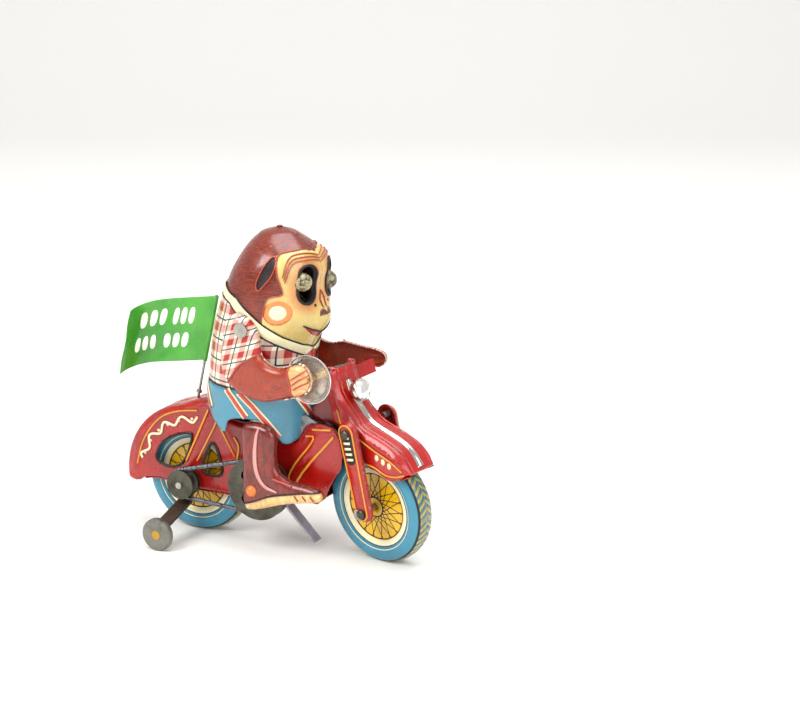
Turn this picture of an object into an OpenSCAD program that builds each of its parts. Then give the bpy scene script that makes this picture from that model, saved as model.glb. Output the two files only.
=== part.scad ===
// Tin wind-up toy: a monkey rides a motorcycle and rings a bell. Millimetres, +X is forward, +Y is
// the rider's left, +Z is up. The origin is on the ground, under the middle of the toy.

/* [Motorcycle] */
// Radius of both wheels
wheel_r = 21; // [20:0.5:22]
// Half of the width of a wheel
wheel_half = 4.3; // [3.5:0.1:5]
// Distance between the two axles
wheelbase = 75.5; // [74:0.5:78]
// Half of the width of the pressed body
body_half = 8.5; // [8:0.1:9]
// Thickness of the pressed tin in the model
tin = 0.8; // [0.6:0.1:1]
// Radius of the rear fender about the rear axle
fender_r = 28.1; // [27:0.1:29]
// Steering angle at rest, to the rider's right
steer_rest = 15; // [0:1:18]

/* [Drive] */
// Belt radius on the small rear pulley
belt_small_r = 5.1; // [4.6:0.1:5.6]
// Belt radius on the large drive pulley
belt_large_r = 10.4; // [9:0.1:11]
// Module of the clockwork gears
gear_module = 0.6; // [0.5:0.05:0.65]

/* [Rider] */
// Height of the shoulder rod
shoulder_z = 85; // [83:0.5:87]
// Radius of an eyeball
eye_r = 3.4; // [3:0.1:3.6]
// Radius of the bell
bell_r = 8.5; // [7:0.1:9]

/* [Outriggers and flag] */
// Radius of an outrigger roller
roller_r = 6; // [5:0.1:7]
// Outer face of a roller, from the middle plane
roller_face = 30.3; // [28:0.1:32]
// Height of the flag sheet along its wire
flag_h = 25.5; // [20:0.5:28]

/* [Hidden] */
$fn = 48;
clear = 0.05;
far = 60;

rear_x = -34;
front_x = rear_x + wheelbase;
axle_r = 1.2;
rear_axle = [rear_x, wheel_r];
drive_shaft = [-1.5, 24.5];
key_arbor = [15, 39];
hip = [-3, 46];
shoulder = [-2.5, shoulder_z];
eye_pivot = [2, 101];
eye_centre = [15.1, 101.3];
eye_y = 9.25;
eye_drop = 3;
slot_y = 7.7;
slot_r = 4.8;
slot_z = [97.6, 102.4];
plate_in = 5.5;
plate_out = 6.3;
shell_in = body_half - tin;
belt_y = -13.5;
belt_r = 0.9;
belt_gap = 0.1;

// steering: the axis leans back and passes behind the front axle
rake = 16.5;
trail = 3;
axis_dir = [-sin(rake), 0, cos(rake)];
axis_foot = [front_x - trail, 0, wheel_r];

// clockwork: tooth counts and the centre of the intermediate arbor
great_teeth = 32;
idle_teeth = 30;
pinion_teeth = 8;
drive_gap = gear_module * (idle_teeth + pinion_teeth) / 2;
great_gap = gear_module * (great_teeth + pinion_teeth) / 2;
arbor_gap = norm(key_arbor - drive_shaft);
arbor_dir = (key_arbor - drive_shaft) / arbor_gap;
idle_along = (drive_gap * drive_gap - great_gap * great_gap + arbor_gap * arbor_gap) / (2 * arbor_gap);
idle_side = sqrt(max(0, drive_gap * drive_gap - idle_along * idle_along));
idle_arbor = drive_shaft + arbor_dir * idle_along + [-arbor_dir[1], arbor_dir[0]] * idle_side;

// side of a leg and an arm
leg_in = 16;
leg_out = 19.5;
arm_in = 18.6;
arm_out = 22;
bell_at = [22.9, 69.7];
bell_in = 16.6;
bell_depth = 3.4;
hand_in = 20.35;

// roller and its arm
roller_at = [-35.6, roller_r];
roller_w = 3.3;
bracket_t = 1;
bracket_y = roller_face - roller_w - 0.3 - bracket_t;

// flag wire: foot on the fender and tip
wire_foot = [-35.2, 0, 48.2];
wire_tip = [-25.5, 0, 90.2];
wire_len = norm(wire_tip - wire_foot);
wire_lean = atan2(wire_tip[0] - wire_foot[0], wire_tip[2] - wire_foot[2]);
wire_r = 0.5;

// ---------- helpers ----------

// points on an arc, angles in degrees
function arc(c, r, a0, a1, n = 12) =
    [for (i = [0 : n]) let (a = a0 + (a1 - a0) * i / n) c + r * [cos(a), sin(a)]];

// outline round two circles of different radii
function capsule(p, rp, q, rq) =
    let (d = q - p, turn = atan2(d[1], d[0]), open = acos((rp - rq) / norm(d)))
    concat(arc(p, rp, turn + open, turn + 360 - open), arc(q, rq, turn - open, turn + open));

// outline moved inward by d, for points that run anticlockwise
function inset(pts, d) =
    let (n = len(pts))
    [for (i = [0 : n - 1])
        let (a = pts[(i + n - 1) % n], b = pts[i], c = pts[(i + 1) % n],
            u = (b - a) / norm(b - a), v = (c - b) / norm(c - b),
            nu = [-u[1], u[0]], nv = [-v[1], v[0]], s = 1 + nu * nv)
        b + d * (nu + nv) / max(s, 0.4)];

// gear outline with thin, well spaced teeth; phase turns the first tooth
function gear(n, phase = 0) =
    let (pitch = 360 / n, root = gear_module * (n - 2.3) / 2, tip = gear_module * (n + 1.1) / 2)
    [for (i = [0 : n - 1], k = [0 : 3])
        let (a = phase + i * pitch + [-0.25, -0.1, 0.1, 0.25][k] * pitch, r = [root, tip, tip, root][k])
        r * [cos(a), sin(a)]];

// an outline in the X-Z plane, made solid between two values of Y
module plate(y0, y1) {
    translate([0, max(y0, y1), 0]) rotate([90, 0, 0]) linear_extrude(abs(y1 - y0)) children();
}

// a round rod along Y
module rod(at, r, y0, y1) {
    translate([at[0], max(y0, y1), at[1]]) rotate([90, 0, 0]) cylinder(r = r, h = abs(y1 - y0));
}

// a turned solid about a line along Y; its profile is [radius, distance to the right]
module turned(at, y = 0) {
    translate([at[0], y, at[1]]) rotate([90, 0, 0]) rotate_extrude() children();
}

// the left side of a part that is drawn on the right
module left() {
    mirror([0, 1, 0]) children();
}

// front parts are drawn straight ahead and turned about the steering axis
module steered() {
    translate(axis_foot) rotate(a = -steer_rest, v = axis_dir) translate(-axis_foot) children();
}

// a child placed on the steering axis, at a height above the ground
module on_axis(z) {
    translate(axis_foot + axis_dir * (z - wheel_r) / cos(rake)) rotate([0, -rake, 0]) children();
}

// ---------- motorcycle body ----------

body_outline = concat(
    [[-57.8, 16.1], [-54.6, 18.6], [-44.9, 19.4], [-40, 17.2], [-12.6, 17.2], [-5, 16.3], [12.4, 18.3],
        [21.8, 20], [25.2, 28.7], [30.4, 36], [27.6, 48.4], [21, 50.5], [19, 54], [-23.5, 54], [-33.5, 52]],
    arc(rear_axle, fender_r, 100, 188, 14));

// narrow cheeks that carry the headstock
cheek_outline = [[15, 50], [27.4, 48.6], [25.2, 63.2], [25, 65.8], [22.6, 65.8], [19.8, 57.9], [15, 54]];
cheek_out = 4.2;
cheek_in = 3.4;

window_rear = [[-49, 26.3], [-42.5, 24.1], [-35.9, 27.1], [-32.1, 38.5], [-34.2, 38.9], [-39.9, 37.4],
    [-45.2, 34.3], [-48, 30.4]];
window_mid = [[-29.4, 24.4], [-20.1, 23.6], [-20.4, 29.8], [-23.5, 37.8], [-26.2, 33.5], [-28.1, 28.6]];

module frame_shell() {
    difference() {
        union() {
            plate(-body_half, -shell_in) polygon(body_outline);
            plate(-shell_in, 0) difference() {
                polygon(body_outline);
                polygon(inset(body_outline, tin));
            }
            plate(-cheek_out, -cheek_in) polygon(cheek_outline);
        }
        // windows beside the rear wheel
        plate(-far, -5) polygon(window_rear);
        plate(-far, -5) polygon(window_mid);
        // the underside is open for the wheel and for the stop lever
        translate([-54.9, -shell_in, 10]) cube([42.5, far, 10.5]);
        translate([-3, -3, 10]) cube([12, far, 12]);
        // the front is open for the steered wheel
        translate([19.8, -shell_in, 10]) cube([20, far, 29.5]);
        // the top is open under the rider and the front is open at the headstock
        translate([-14, -6.6, 50]) cube([26, far, 10]);
        translate([16, -cheek_in, 46]) cube([20, far, 30]);
        // bores and holes
        rod(rear_axle, axle_r + clear, -far, 0);
        rod(drive_shaft, axle_r + clear, -far, 0);
        rod(hip, axle_r, -far, 0);
        rod(key_arbor, 1.5 + clear, -far, 0);
        along_wire() cylinder(r = wire_r, h = 10);
    }
}

module frame_shell_right() {
    color("firebrick") frame_shell();
}

module frame_shell_left() {
    color("firebrick") left() frame_shell();
}

motor_outline = [[-9, 20], [8, 20], [19.5, 23], [22.4, 36], [22, 48], [14, 51.5], [-8, 51.5], [-9, 40]];
pillar_at = [[-6, 48.5], [18, 26], [-6.5, 28]];

module motor_plate() {
    difference() {
        plate(-plate_out, -plate_in) polygon(motor_outline);
        for (p = pillar_at) rod(p, 0.9, -far, 0);
        rod(drive_shaft, axle_r + clear, -far, 0);
        rod(idle_arbor, 0.8 + clear, -far, 0);
        rod(key_arbor, 1.5 + clear, -far, 0);
        rod(hip, axle_r, -far, 0);
    }
}

module motor_plate_right() {
    color("lightsteelblue") motor_plate();
}

module motor_plate_left() {
    color("lightsteelblue") left() motor_plate();
}

module plate_pillars() {
    color("silver") for (p = pillar_at) {
        rod(p, 1.5, -plate_in, plate_in);
        rod(p, 0.9, -shell_in, shell_in);
        rod(p, 1.6, -shell_in, -plate_out);
        rod(p, 1.6, plate_out, shell_in);
    }
}

module headstock() {
    color("silver") difference() {
        union() {
            on_axis(52) cylinder(r = 1.55, h = 11);
            plate(-0.5, 0.5) polygon([[18, 50.4], [28.4, 50.4], [25.6, 62.5], [22.5, 62.5], [18, 53]]);
            translate([17, -cheek_in, 50]) cube([2, 2 * cheek_in, 3.4]);
        }
        on_axis(40) cylinder(r = 0.9 + clear, h = 40);
    }
}

// ---------- outriggers, lever, belt ----------

// bent strip seen from the back: foot on the body, slope, upright end
strip_line = [[-body_half, 18.5], [-body_half - bracket_t, 18.5], [-body_half - bracket_t, 13.3],
    [-bracket_y - bracket_t, 8.6], [-bracket_y - bracket_t, 2.4], [-bracket_y, 2.4], [-bracket_y, 7.7],
    [-body_half, 12.3]];

module outrigger_arm() {
    difference() {
        translate([roller_at[0] - 2.7, 0, 0]) rotate([90, 0, 90]) linear_extrude(5.4) polygon(strip_line);
        rod(roller_at, 0.9, -far, 0);
    }
}

module outrigger_arm_right() {
    color("dimgray") outrigger_arm();
}

module outrigger_arm_left() {
    color("dimgray") left() outrigger_arm();
}

module roller() {
    turned(roller_at) difference() {
        translate([0, roller_face - roller_w]) polygon([[0.9 + clear, 0], [5, 0], [roller_r - 0.5, 0.2],
            [roller_r, 0.7], [roller_r, 2.6], [roller_r - 0.5, 3.1], [5, roller_w], [4.2, 2.7],
            [0.9 + clear, 2.7]]);
    }
}

module roller_right() {
    color("gray") roller();
}

module roller_left() {
    color("gray") left() roller();
}

module roller_pin() {
    rod(roller_at, 0.9, -roller_face + 0.5, -bracket_y + 0.6);
    rod(roller_at, 1.7, -roller_face + 0.5, -roller_face + 0.2);
    rod(roller_at, 1.7, -bracket_y, -bracket_y + 0.6);
}

module roller_pins() {
    color("goldenrod") {
        roller_pin();
        left() roller_pin();
    }
}

lever_pivot = [2.4, 15];

module stop_lever() {
    color("lightgray") difference() {
        translate([lever_pivot[0], 0, lever_pivot[1]]) rotate([0, 46, 0]) union() {
            translate([-0.4, -2.3, -0.4]) cube([18.4, 4.6, 0.8]);
            rotate([90, 0, 0]) translate([0, 0, -2.3]) cylinder(r = 1.4, h = 4.6);
        }
        rod(lever_pivot, 0.8 + clear, -far, far);
    }
}

module lever_pin() {
    color("silver") rod(lever_pivot, 0.8, -shell_in, shell_in);
}

function belt_outline(extra) =
    capsule(rear_axle, belt_small_r + extra, drive_shaft, belt_large_r + extra);

module spring_belt() {
    color("slategray") plate(belt_y - belt_r, belt_y + belt_r) difference() {
        polygon(belt_outline(belt_r));
        polygon(belt_outline(-belt_r));
    }
}

// ---------- rear wheel and drive train ----------

wheel_profile = [[axle_r, 0], [axle_r, 3], [5, 3], [13.5, 2.4], [14.7, 3.3], [17, wheel_half],
    [19, wheel_half - 0.2], [20.3, 3], [wheel_r - 0.15, 1.6], [wheel_r, 0.4], [wheel_r, 0],
    [wheel_r - 0.5, 0], [20.3, 1.6], [19.8, 2.7], [18.7, 3.6], [17, 3.8], [15, 2.9], [13.6, 1.9],
    [5, 2.5], [2.4, 2.5], [2.4, 0]];

module wheel_half_shell(at, bore) {
    difference() {
        turned(at) polygon(wheel_profile);
        rod(at, bore, -far, far);
    }
}

module rear_wheel_right() {
    color("goldenrod") wheel_half_shell(rear_axle, axle_r);
}

module rear_wheel_left() {
    color("goldenrod") left() wheel_half_shell(rear_axle, axle_r);
}

module rear_axle_rod() {
    color("silver") rod(rear_axle, axle_r, belt_y - 3, body_half + 1.2);
}

// pulley with one groove, drawn as [radius, distance to the right]
module grooved(at, y, width, flange, groove, bore) {
    lip = width * 0.3;
    turned(at) translate([0, -y]) polygon([[bore, -width], [flange, -width], [flange, lip - width],
        [groove, 1.8 * lip - width], [groove, width - 1.8 * lip], [flange, width - lip], [flange, width],
        [bore, width]]);
}

module rear_pulley() {
    color("dimgray") union() {
        grooved(rear_axle, belt_y, 2.1, belt_small_r + 0.4, belt_small_r - belt_r - belt_gap, axle_r);
        grooved(rear_axle, belt_y + 3, 0.9, belt_small_r + 0.2, belt_small_r - 1.2, axle_r);
    }
}

module drive_pulley() {
    color("dimgray") difference() {
        grooved(drive_shaft, belt_y, 2.1, belt_large_r + 1.4, belt_large_r - belt_r - belt_gap, axle_r);
        for (a = [0 : 90 : 270]) rod(drive_shaft + 6 * [cos(a + 45), sin(a + 45)], 2, -far, 0);
    }
}

module drive_shaft_rod() {
    color("silver") rod(drive_shaft, axle_r, -leg_out, plate_out);
}

module gear_at(at, teeth, y0, y1, bore, phase) {
    difference() {
        translate([at[0], 0, at[1]]) plate(y0, y1) polygon(gear(teeth, phase));
        rod(at, bore, -far, far);
    }
}

idle_turn = atan2((idle_arbor - drive_shaft)[1], (idle_arbor - drive_shaft)[0]);
great_turn = atan2((key_arbor - idle_arbor)[1], (key_arbor - idle_arbor)[0]);

module drive_pinion() {
    color("goldenrod") gear_at(drive_shaft, pinion_teeth, -5, -2.2, axle_r, idle_turn + 180 / pinion_teeth);
}

module idle_wheel() {
    color("goldenrod") gear_at(idle_arbor, idle_teeth, -4.2, -3, 0.8, idle_turn + 180);
}

module idle_pinion() {
    color("goldenrod") gear_at(idle_arbor, pinion_teeth, -2.6, 0.4, 0.8, great_turn + 180 / pinion_teeth);
}

module great_wheel() {
    color("goldenrod") gear_at(key_arbor, great_teeth, -1.8, -0.6, 1.5 + clear, great_turn + 180);
}

module cam() {
    color("goldenrod") difference() {
        rod(drive_shaft + [1, 0], 3, 1.2, 2.4);
        rod(drive_shaft, axle_r, -far, far);
    }
}

module idle_arbor_rod() {
    color("silver") rod(idle_arbor, 0.8, -plate_out, plate_out);
}

module mainspring() {
    color("steelblue") difference() {
        rod(key_arbor, 7.8, 0.2, 4.4);
        rod(key_arbor, 6.9, 0.2, 4.4);
        rod(key_arbor, 3, 0, 5);
    }
}

module key_arbor_rod() {
    color("silver") rod(key_arbor, 1.5, -plate_out, 16);
}

module ratchet_wheel() {
    color("goldenrod") difference() {
        rod(key_arbor, 2.6, 0.2, 4.4);
        rod(key_arbor, 1.5, -far, far);
    }
}

module winding_key() {
    color("silver") difference() {
        union() {
            rod(key_arbor, 2.2, 10, 22.5);
            plate(20.2, 29) translate(key_arbor) square([17, 1], center = true);
        }
        rod(key_arbor, 1.5, 0, 16);
        for (s = [-1, 1]) translate([key_arbor[0] + 5.4 * s, 24.6, key_arbor[1]])
            cylinder(r = 1.6, h = 4, center = true);
    }
}

// ---------- front of the motorcycle ----------

// places a point given from the front axle line: [forward, height above the ground]
function front(p) = [front_x + p[0], p[1]];

crown_line = [for (p = [[19.3, 38], [17.2, 43], [14, 46], [9.2, 48], [3.5, 49.7], [-2.1, 51.3], [-5.6, 54.4],
    [-8.6, 57.8], [-11.6, 61], [-13.2, 65.5], [-14, 69]]) front(p)];
crown_turns = 6;
fender_side = concat([for (p = [[-6, 52], [-4.6, 46], [0.7, 37.4], [8.3, 35.8], [14.3, 35.6]]) front(p)],
    [for (i = [0 : crown_turns]) crown_line[i]]);
column_side = concat([for (p = [[-14.4, 70.5], [-18.6, 70.5], [-18.5, 63], [-16.8, 57.7],
    [-15.4, 51.6], [-8, 50]]) front(p)], [for (i = [crown_turns - 1 : len(crown_line) - 1]) crown_line[i]]);
bar_box = [0.9, 31, 5];
bar_at = front([-14.3, 63.6]);

module at_bar() {
    translate([bar_at[0], 0, bar_at[1]]) rotate([0, -rake, 0]) children();
}

// half of the pressed fender and of the column above it, open at the back
module fairing_half() {
    difference() {
        union() {
            plate(-8, -7.2) polygon(fender_side);
            plate(-7.2, -6.4) polygon(column_side);
            // rolled crown that joins the two sides
            plate(-7.2, 0) polygon(concat(crown_line, [for (i = [len(crown_line) - 1 : -1 : 0])
                crown_line[i] - (i < crown_turns ? [0.25, 0.75] : [0.75, 0.45])]));
        }
        at_bar() translate([0, -far / 2, 0]) cube([bar_box[0], far, bar_box[2]]);
    }
}

module fairing_right() {
    color("firebrick") steered() fairing_half();
}

module fairing_left() {
    color("firebrick") steered() left() fairing_half();
}

blade_top = front([-4.6, 50.5]);
blade_end = front([1.2, 21.5]);

module blade() {
    difference() {
        plate(-12, -9.8) polygon(capsule(blade_top, 4.2, blade_end, 3.6));
        plate(-11.2, -9) polygon(capsule(blade_top, 3.4, blade_end, 2.8));
        rod([front_x, wheel_r], axle_r, -far, 0);
    }
}

module fork_blade_right() {
    color("firebrick") steered() blade();
}

module fork_blade_left() {
    color("firebrick") steered() left() blade();
}

module blade_rivets() {
    color("silver") steered() for (s = [0, 1], p = [[-4.8, 51], [-3.2, 44]]) mirror([0, s, 0])
        rod(front(p), 1.3, -11.2, -8);
}

module steering_stem() {
    color("silver") steered() {
        on_axis(46.5) cylinder(r = 0.9, h = 23.8);
        // lower crown reaches the sides of the fender, the upper one those of the column
        on_axis(46.5) {
            cylinder(r = 1.5, h = 1);
            translate([0, -1.2, 0]) cube([5, 2.4, 1]);
            translate([3.4, -7.2, 0]) cube([3, 14.4, 1]);
        }
        on_axis(69) {
            cylinder(r = 1.5, h = 0.8);
            translate([0, -1.2, 0]) cube([2, 2.4, 0.8]);
            translate([1.2, -6.4, 0]) cube([1, 12.8, 0.8]);
        }
    }
}

module fender_trim() {
    color("gainsboro") steered() plate(-0.9, 0.9) polygon(concat(
        [for (i = [0 : crown_turns]) crown_line[i] + [0.4, 0.85]],
        [for (i = [crown_turns : -1 : 0]) crown_line[i]]));
}

lamp_at = front([-8.2, 62.4]);

module headlamp() {
    color("gainsboro") steered() translate([lamp_at[0], 0, lamp_at[1]]) rotate([0, 70, 0]) rotate_extrude()
        polygon([[0, -3.3], [1.4, -3], [3.2, -1.6], [4, 0.4], [4, 1.6], [3.4, 2.4], [0, 2.8]]);
}

module handlebar() {
    color("firebrick") steered() at_bar() translate([0, -bar_box[1] / 2, 0]) cube(bar_box);
}

module front_axle_rod() {
    color("silver") steered() {
        rod([front_x, wheel_r], axle_r, -12.6, 12.6);
        for (s = [-1, 1]) rod([front_x, wheel_r], 2, 12 * s, 12.8 * s);
    }
}

module front_wheel_right() {
    color("goldenrod") steered() wheel_half_shell([front_x, wheel_r], axle_r + clear);
}

module front_wheel_left() {
    color("goldenrod") steered() left() wheel_half_shell([front_x, wheel_r], axle_r + clear);
}

// ---------- rider ----------

// height, back, front and half width of the pressed body and head, and how square its front is
rider_sections = [[41, -28, 12.9, 17.6, 2], [50, -28.1, 13.6, 18, 2], [60, -27.4, 13.8, 18, 2],
    [70, -26, 13.4, 17.9, 2], [77, -25.1, 14.2, 17.7, 2], [80, -24.6, 15.3, 17.7, 2],
    [84, -23.5, 16.6, 17.8, 2.2], [88, -22.1, 17.3, 17.8, 2.4], [92, -20.7, 17.4, 17.8, 2.5],
    [96, -19.1, 17.2, 17.6, 2.5], [100, -17.4, 17.3, 17.2, 2.5], [104, -15.4, 18.2, 16.6, 2.4],
    [108, -12.9, 17.1, 15, 2.3], [112, -10.1, 13.4, 11.8, 2.1], [115, -7.1, 9.3, 8.2, 2],
    [117, -3.9, 5.7, 4.8, 2], [118, 0.2, 2, 1.2, 2]];

// smooth reading of one column of the table at height z
function read(z, col) = lookup(z, [for (s = rider_sections) [s[0], s[col]]]);

// lower rim: high over the saddle, low at the sides
function rim_z(a) = 41 + 15 * pow(max(0, 1 - pow(abs(sin(a)) / 0.85, 3)), 0.8);

// point on the skin at angle a (0 front, -90 right) and share u of the height, moved in by d
function skin(a, u, d) =
    let (z = rim_z(a) + (118 - rim_z(a)) * u, back = read(z, 1), front = read(z, 2),
        half = read(z, 3) - d, mid = (back + front) / 2, long = (front - back) / 2 - d,
        n = cos(a) > 0 ? read(z, 4) : 2, r = pow(pow(abs(cos(a)), n) + pow(abs(sin(a)), n), -1 / n))
    [mid + long * r * cos(a), half * r * sin(a), z - (u > 0.9 ? d * (u - 0.9) * 10 : 0)];

rider_cols = 20;
rider_rows = [for (i = [0 : 26]) let (t = i / 26) t < 0.7 ? t : t + 0.16 * (1 - t) * (t - 0.7)];

module rider_shell() {
    rows = len(rider_rows);
    cols = rider_cols + 1;
    outer = [for (u = rider_rows, j = [0 : rider_cols]) skin(-180 * j / rider_cols, u, 0)];
    inner = [for (u = rider_rows, j = [0 : rider_cols]) skin(-180 * j / rider_cols, u, tin)];
    n = rows * cols;
    polyhedron(points = concat(outer, inner), faces = concat(
        [for (i = [0 : rows - 2], j = [0 : cols - 2]) each let (p = i * cols + j)
            [[p, p + 1, p + cols], [p + 1, p + cols + 1, p + cols]]],
        [for (i = [0 : rows - 2], j = [0 : cols - 2]) each let (p = n + i * cols + j)
            [[p, p + cols, p + 1], [p + 1, p + cols, p + cols + 1]]],
        [for (j = [0 : cols - 2]) each [[j, n + j, j + 1], [j + 1, n + j, n + j + 1]]],
        [for (j = [0 : cols - 2]) each let (p = (rows - 1) * cols + j)
            [[p, p + 1, n + p], [p + 1, n + p + 1, n + p]]],
        [for (i = [0 : rows - 2]) each let (p = i * cols)
            [[p, p + cols, n + p], [p + cols, n + p + cols, n + p]]],
        [for (i = [0 : rows - 2]) each let (p = i * cols + cols - 1)
            [[p, n + p, p + cols], [p + cols, n + p, n + p + cols]]]));
}

module monkey_half() {
    difference() {
        rider_shell();
        // eye slot, leg opening, shoulder hole
        translate([8, -slot_y - slot_r, slot_z[0]]) cube([20, 2 * slot_r, slot_z[1] - slot_z[0]]);
        for (z = slot_z) translate([8, -slot_y, z]) rotate([0, 90, 0]) cylinder(r = slot_r, h = 20);
        plate(-far, -13) polygon(capsule([-6.8, 44.6], 5.8, [4.4, 44.6], 5.8));
        rod(shoulder, 1.5, -far, 0);
    }
}

module monkey_shell_right() {
    color("peru") monkey_half();
}

module monkey_shell_left() {
    color("peru") left() monkey_half();
}

module rider_bracket() {
    color("lightsteelblue") difference() {
        union() {
            plate(2, 2.8) polygon([[-8, 42.5], [2, 42.5], [3.6, 60], [4.6, 103], [-1, 104], [-8, 80]]);
            rod(hip, 2.2, 2.8, plate_in);
        }
        for (p = pillar_at) rod(p, 1.5, -far, far);
        rod(hip, axle_r, -far, far);
        rod(shoulder, 1.5, -far, far);
        rod(eye_pivot, 1, -far, far);
    }
}

module hip_rod() {
    color("silver") rod(hip, axle_r, -leg_out + 0.8, leg_out - 0.8);
}

module shoulder_rod() {
    color("silver") {
        rod(shoulder, 1.5, -arm_out - 0.9, arm_out + 0.9);
        for (s = [-1, 1]) rod(shoulder, 2.6, s * (arm_out + 0.2), s * (arm_out + 0.9));
    }
}

module eye_pin() {
    color("silver") rod(eye_pivot, 1, -6.4, 6.4);
}

// outline of a leg, anticlockwise from the heel
leg_outline = [[-5, 17.6], [-2.8, 16.6], [3.6, 18.6], [12.6, 21.8], [25.2, 23.9], [26.6, 25.2],
    [26.4, 27.4], [23.6, 29.4], [14, 29.9], [9.6, 31.8], [7.8, 35.4], [7.6, 41], [8.2, 46], [6.2, 48.8],
    [3.6, 49.6], [-0.5, 49.8], [-5.2, 49.6], [-5.7, 44.7], [-5.2, 34], [-5.9, 23]];

module leg(pivot_r) {
    difference() {
        plate(-leg_out, -leg_in) polygon(leg_outline);
        // pocket behind the shin
        plate(-leg_out + tin, -leg_in + 1) intersection() {
            polygon(inset(leg_outline, tin));
            translate([-10, 31]) square([20, 12]);
        }
        rod(hip, axle_r, -leg_out + 0.8, 0);
        rod(drive_shaft, pivot_r, -far, 0);
    }
}

module leg_right() {
    color("steelblue") leg(axle_r + clear);
}

module leg_left() {
    color("steelblue") left() leg(axle_r);
}

module leg_rivets() {
    color("darkorange") for (s = [0, 1]) mirror([0, s, 0]) turned(drive_shaft)
        polygon([[0, leg_out], [2.1, leg_out], [1.9, leg_out + 0.6], [1.1, leg_out + 1.1],
            [0, leg_out + 1.3]]);
}

module foot_pin() {
    color("silver") rod(drive_shaft, axle_r, plate_out + 0.2, leg_out);
}

// sleeve and forearm outlines, made smaller by d
elbow = [-4, 71];
forearm = [7, 65.6];

module arm_shape(wrist, wrist_r, d = 0) {
    polygon(capsule([-4, 83], 7 - d, elbow, 8.4 - d));
    polygon(capsule(elbow, 8.4 - d, forearm, 6.9 - d));
    polygon(capsule(forearm, 6.9 - d, wrist, wrist_r - d));
}

// pressed arm: a shallow tray, open on the inner side, with a hub at the shoulder
module pressed_arm(wrist, wrist_r) {
    difference() {
        plate(-arm_out, -arm_in) arm_shape(wrist, wrist_r);
        difference() {
            plate(-arm_out + tin, -arm_in + 1) arm_shape(wrist, wrist_r, tin);
            rod(shoulder, 3.2, -arm_out, 0);
        }
        rod(shoulder, 1.5 + clear, -far, 0);
    }
}

module arm_right() {
    color("peru") difference() {
        pressed_arm([18, 68.8], 5.8);
        // the hand lies outside the bell
        translate([bell_at[0] - bell_r - 0.4, -hand_in, 50]) cube([20, 10, 40]);
        rod(bell_at, 0.8, -arm_out + tin, 0);
    }
}

module arm_left() {
    color("peru") left() {
        pressed_arm([15, 68.8], 5.8);
        plate(-arm_out, -arm_out + tin) polygon(capsule([15, 68.8], 5.8, [30.4, 68.4], 4));
        // hand that lies over the handlebar
        translate([29, -arm_out + 0.4, 71.2]) cube([4.4, arm_out - 15.4, 0.8]);
    }
}

// shallow dish; its hollow faces outward
module bell() {
    rim = [bell_r, bell_depth + 0.3];
    wall = 0.45;
    color("gainsboro") turned(bell_at) translate([0, bell_in]) polygon(concat([[0.8, 0], [2.4, 0]],
        [for (i = [1 : 8]) let (t = i / 8) [2.4 + (rim[0] - 2.4) * t, bell_depth * t * t]],
        [rim, [rim[0] - 0.4, rim[1]]],
        [for (i = [8 : -1 : 1]) let (t = i / 8) [2 + (rim[0] - wall - 2) * t, bell_depth * t * t + wall]],
        [[2, wall], [0.8, wall]]));
}

module bell_rivet() {
    color("goldenrod") {
        rod(bell_at, 0.8, -arm_out + tin, -bell_in + 0.5);
        rod(bell_at, 1.5, -bell_in, -bell_in + 0.5);
        rod(bell_at, 1.3, -hand_in, -bell_in - 0.5);
    }
}

module eye_rocker() {
    color("darkkhaki") difference() {
        union() {
            for (s = [-1, 1]) {
                rod(eye_pivot, 2, 3.6 * s, 6 * s);
                plate(4 * s, 5.6 * s) polygon([[2, 99.6], [10.8, 99.6], [10.8, 103], [2, 102.4]]);
                translate([eye_centre[0], eye_y * s, eye_centre[1] - (s > 0 ? eye_drop : 0)])
                    sphere(r = eye_r, $fn = 32);
            }
            // cross bar, lower on the left
            translate([8.8, 0, 0]) rotate([90, 0, 90]) linear_extrude(4) polygon([[-eye_y, 99.6],
                [eye_y, 99.6 - eye_drop], [eye_y, 103 - eye_drop], [-eye_y, 103]]);
        }
        rod(eye_pivot, 1 + clear, -far, far);
    }
}

module push_rod() {
    color("silver") plate(0.6, 1.6) polygon([[-0.7, 30], [1.1, 30], [1.1, 95], [-0.7, 95]]);
}

// ---------- flag ----------

module along_wire() {
    translate(wire_foot) rotate([0, wire_lean, 0]) children();
}

module flag_wire() {
    color("silver") along_wire() {
        cylinder(r = wire_r, h = wire_len);
        translate([0, 0, 4.3]) cylinder(r = 1.1, h = 0.8);
    }
}

sheet_t = 0.35;
sleeve_r = wire_r + 0.5;
curl_r = 10.5;
curl_at = [-18.5, -curl_r];
flag_droop = 0.4;

// sheet seen along the wire: a straight run from the sleeve, then a curl
function sheet_line(d) =
    concat([[-sleeve_r * 0.6, d], [curl_at[0], d]], arc(curl_at, curl_r + d, 90, 178, 12));

module flag_sheet() {
    color("limegreen") along_wire() translate([0, 0, wire_len - flag_h - 0.5]) difference() {
        union() {
            cylinder(r = sleeve_r, h = flag_h);
            // the free end hangs lower than the end on the wire
            multmatrix([[1, 0, 0, 0], [0, 1, 0, 0], [flag_droop, 0, 1, 0], [0, 0, 0, 1]])
                linear_extrude(flag_h)
                    polygon(concat(sheet_line(sheet_t / 2),
                        [for (i = [14 : -1 : 0]) sheet_line(-sheet_t / 2)[i]]));
        }
        translate([0, 0, -1]) cylinder(r = wire_r + clear, h = flag_h + 2);
    }
}

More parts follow.
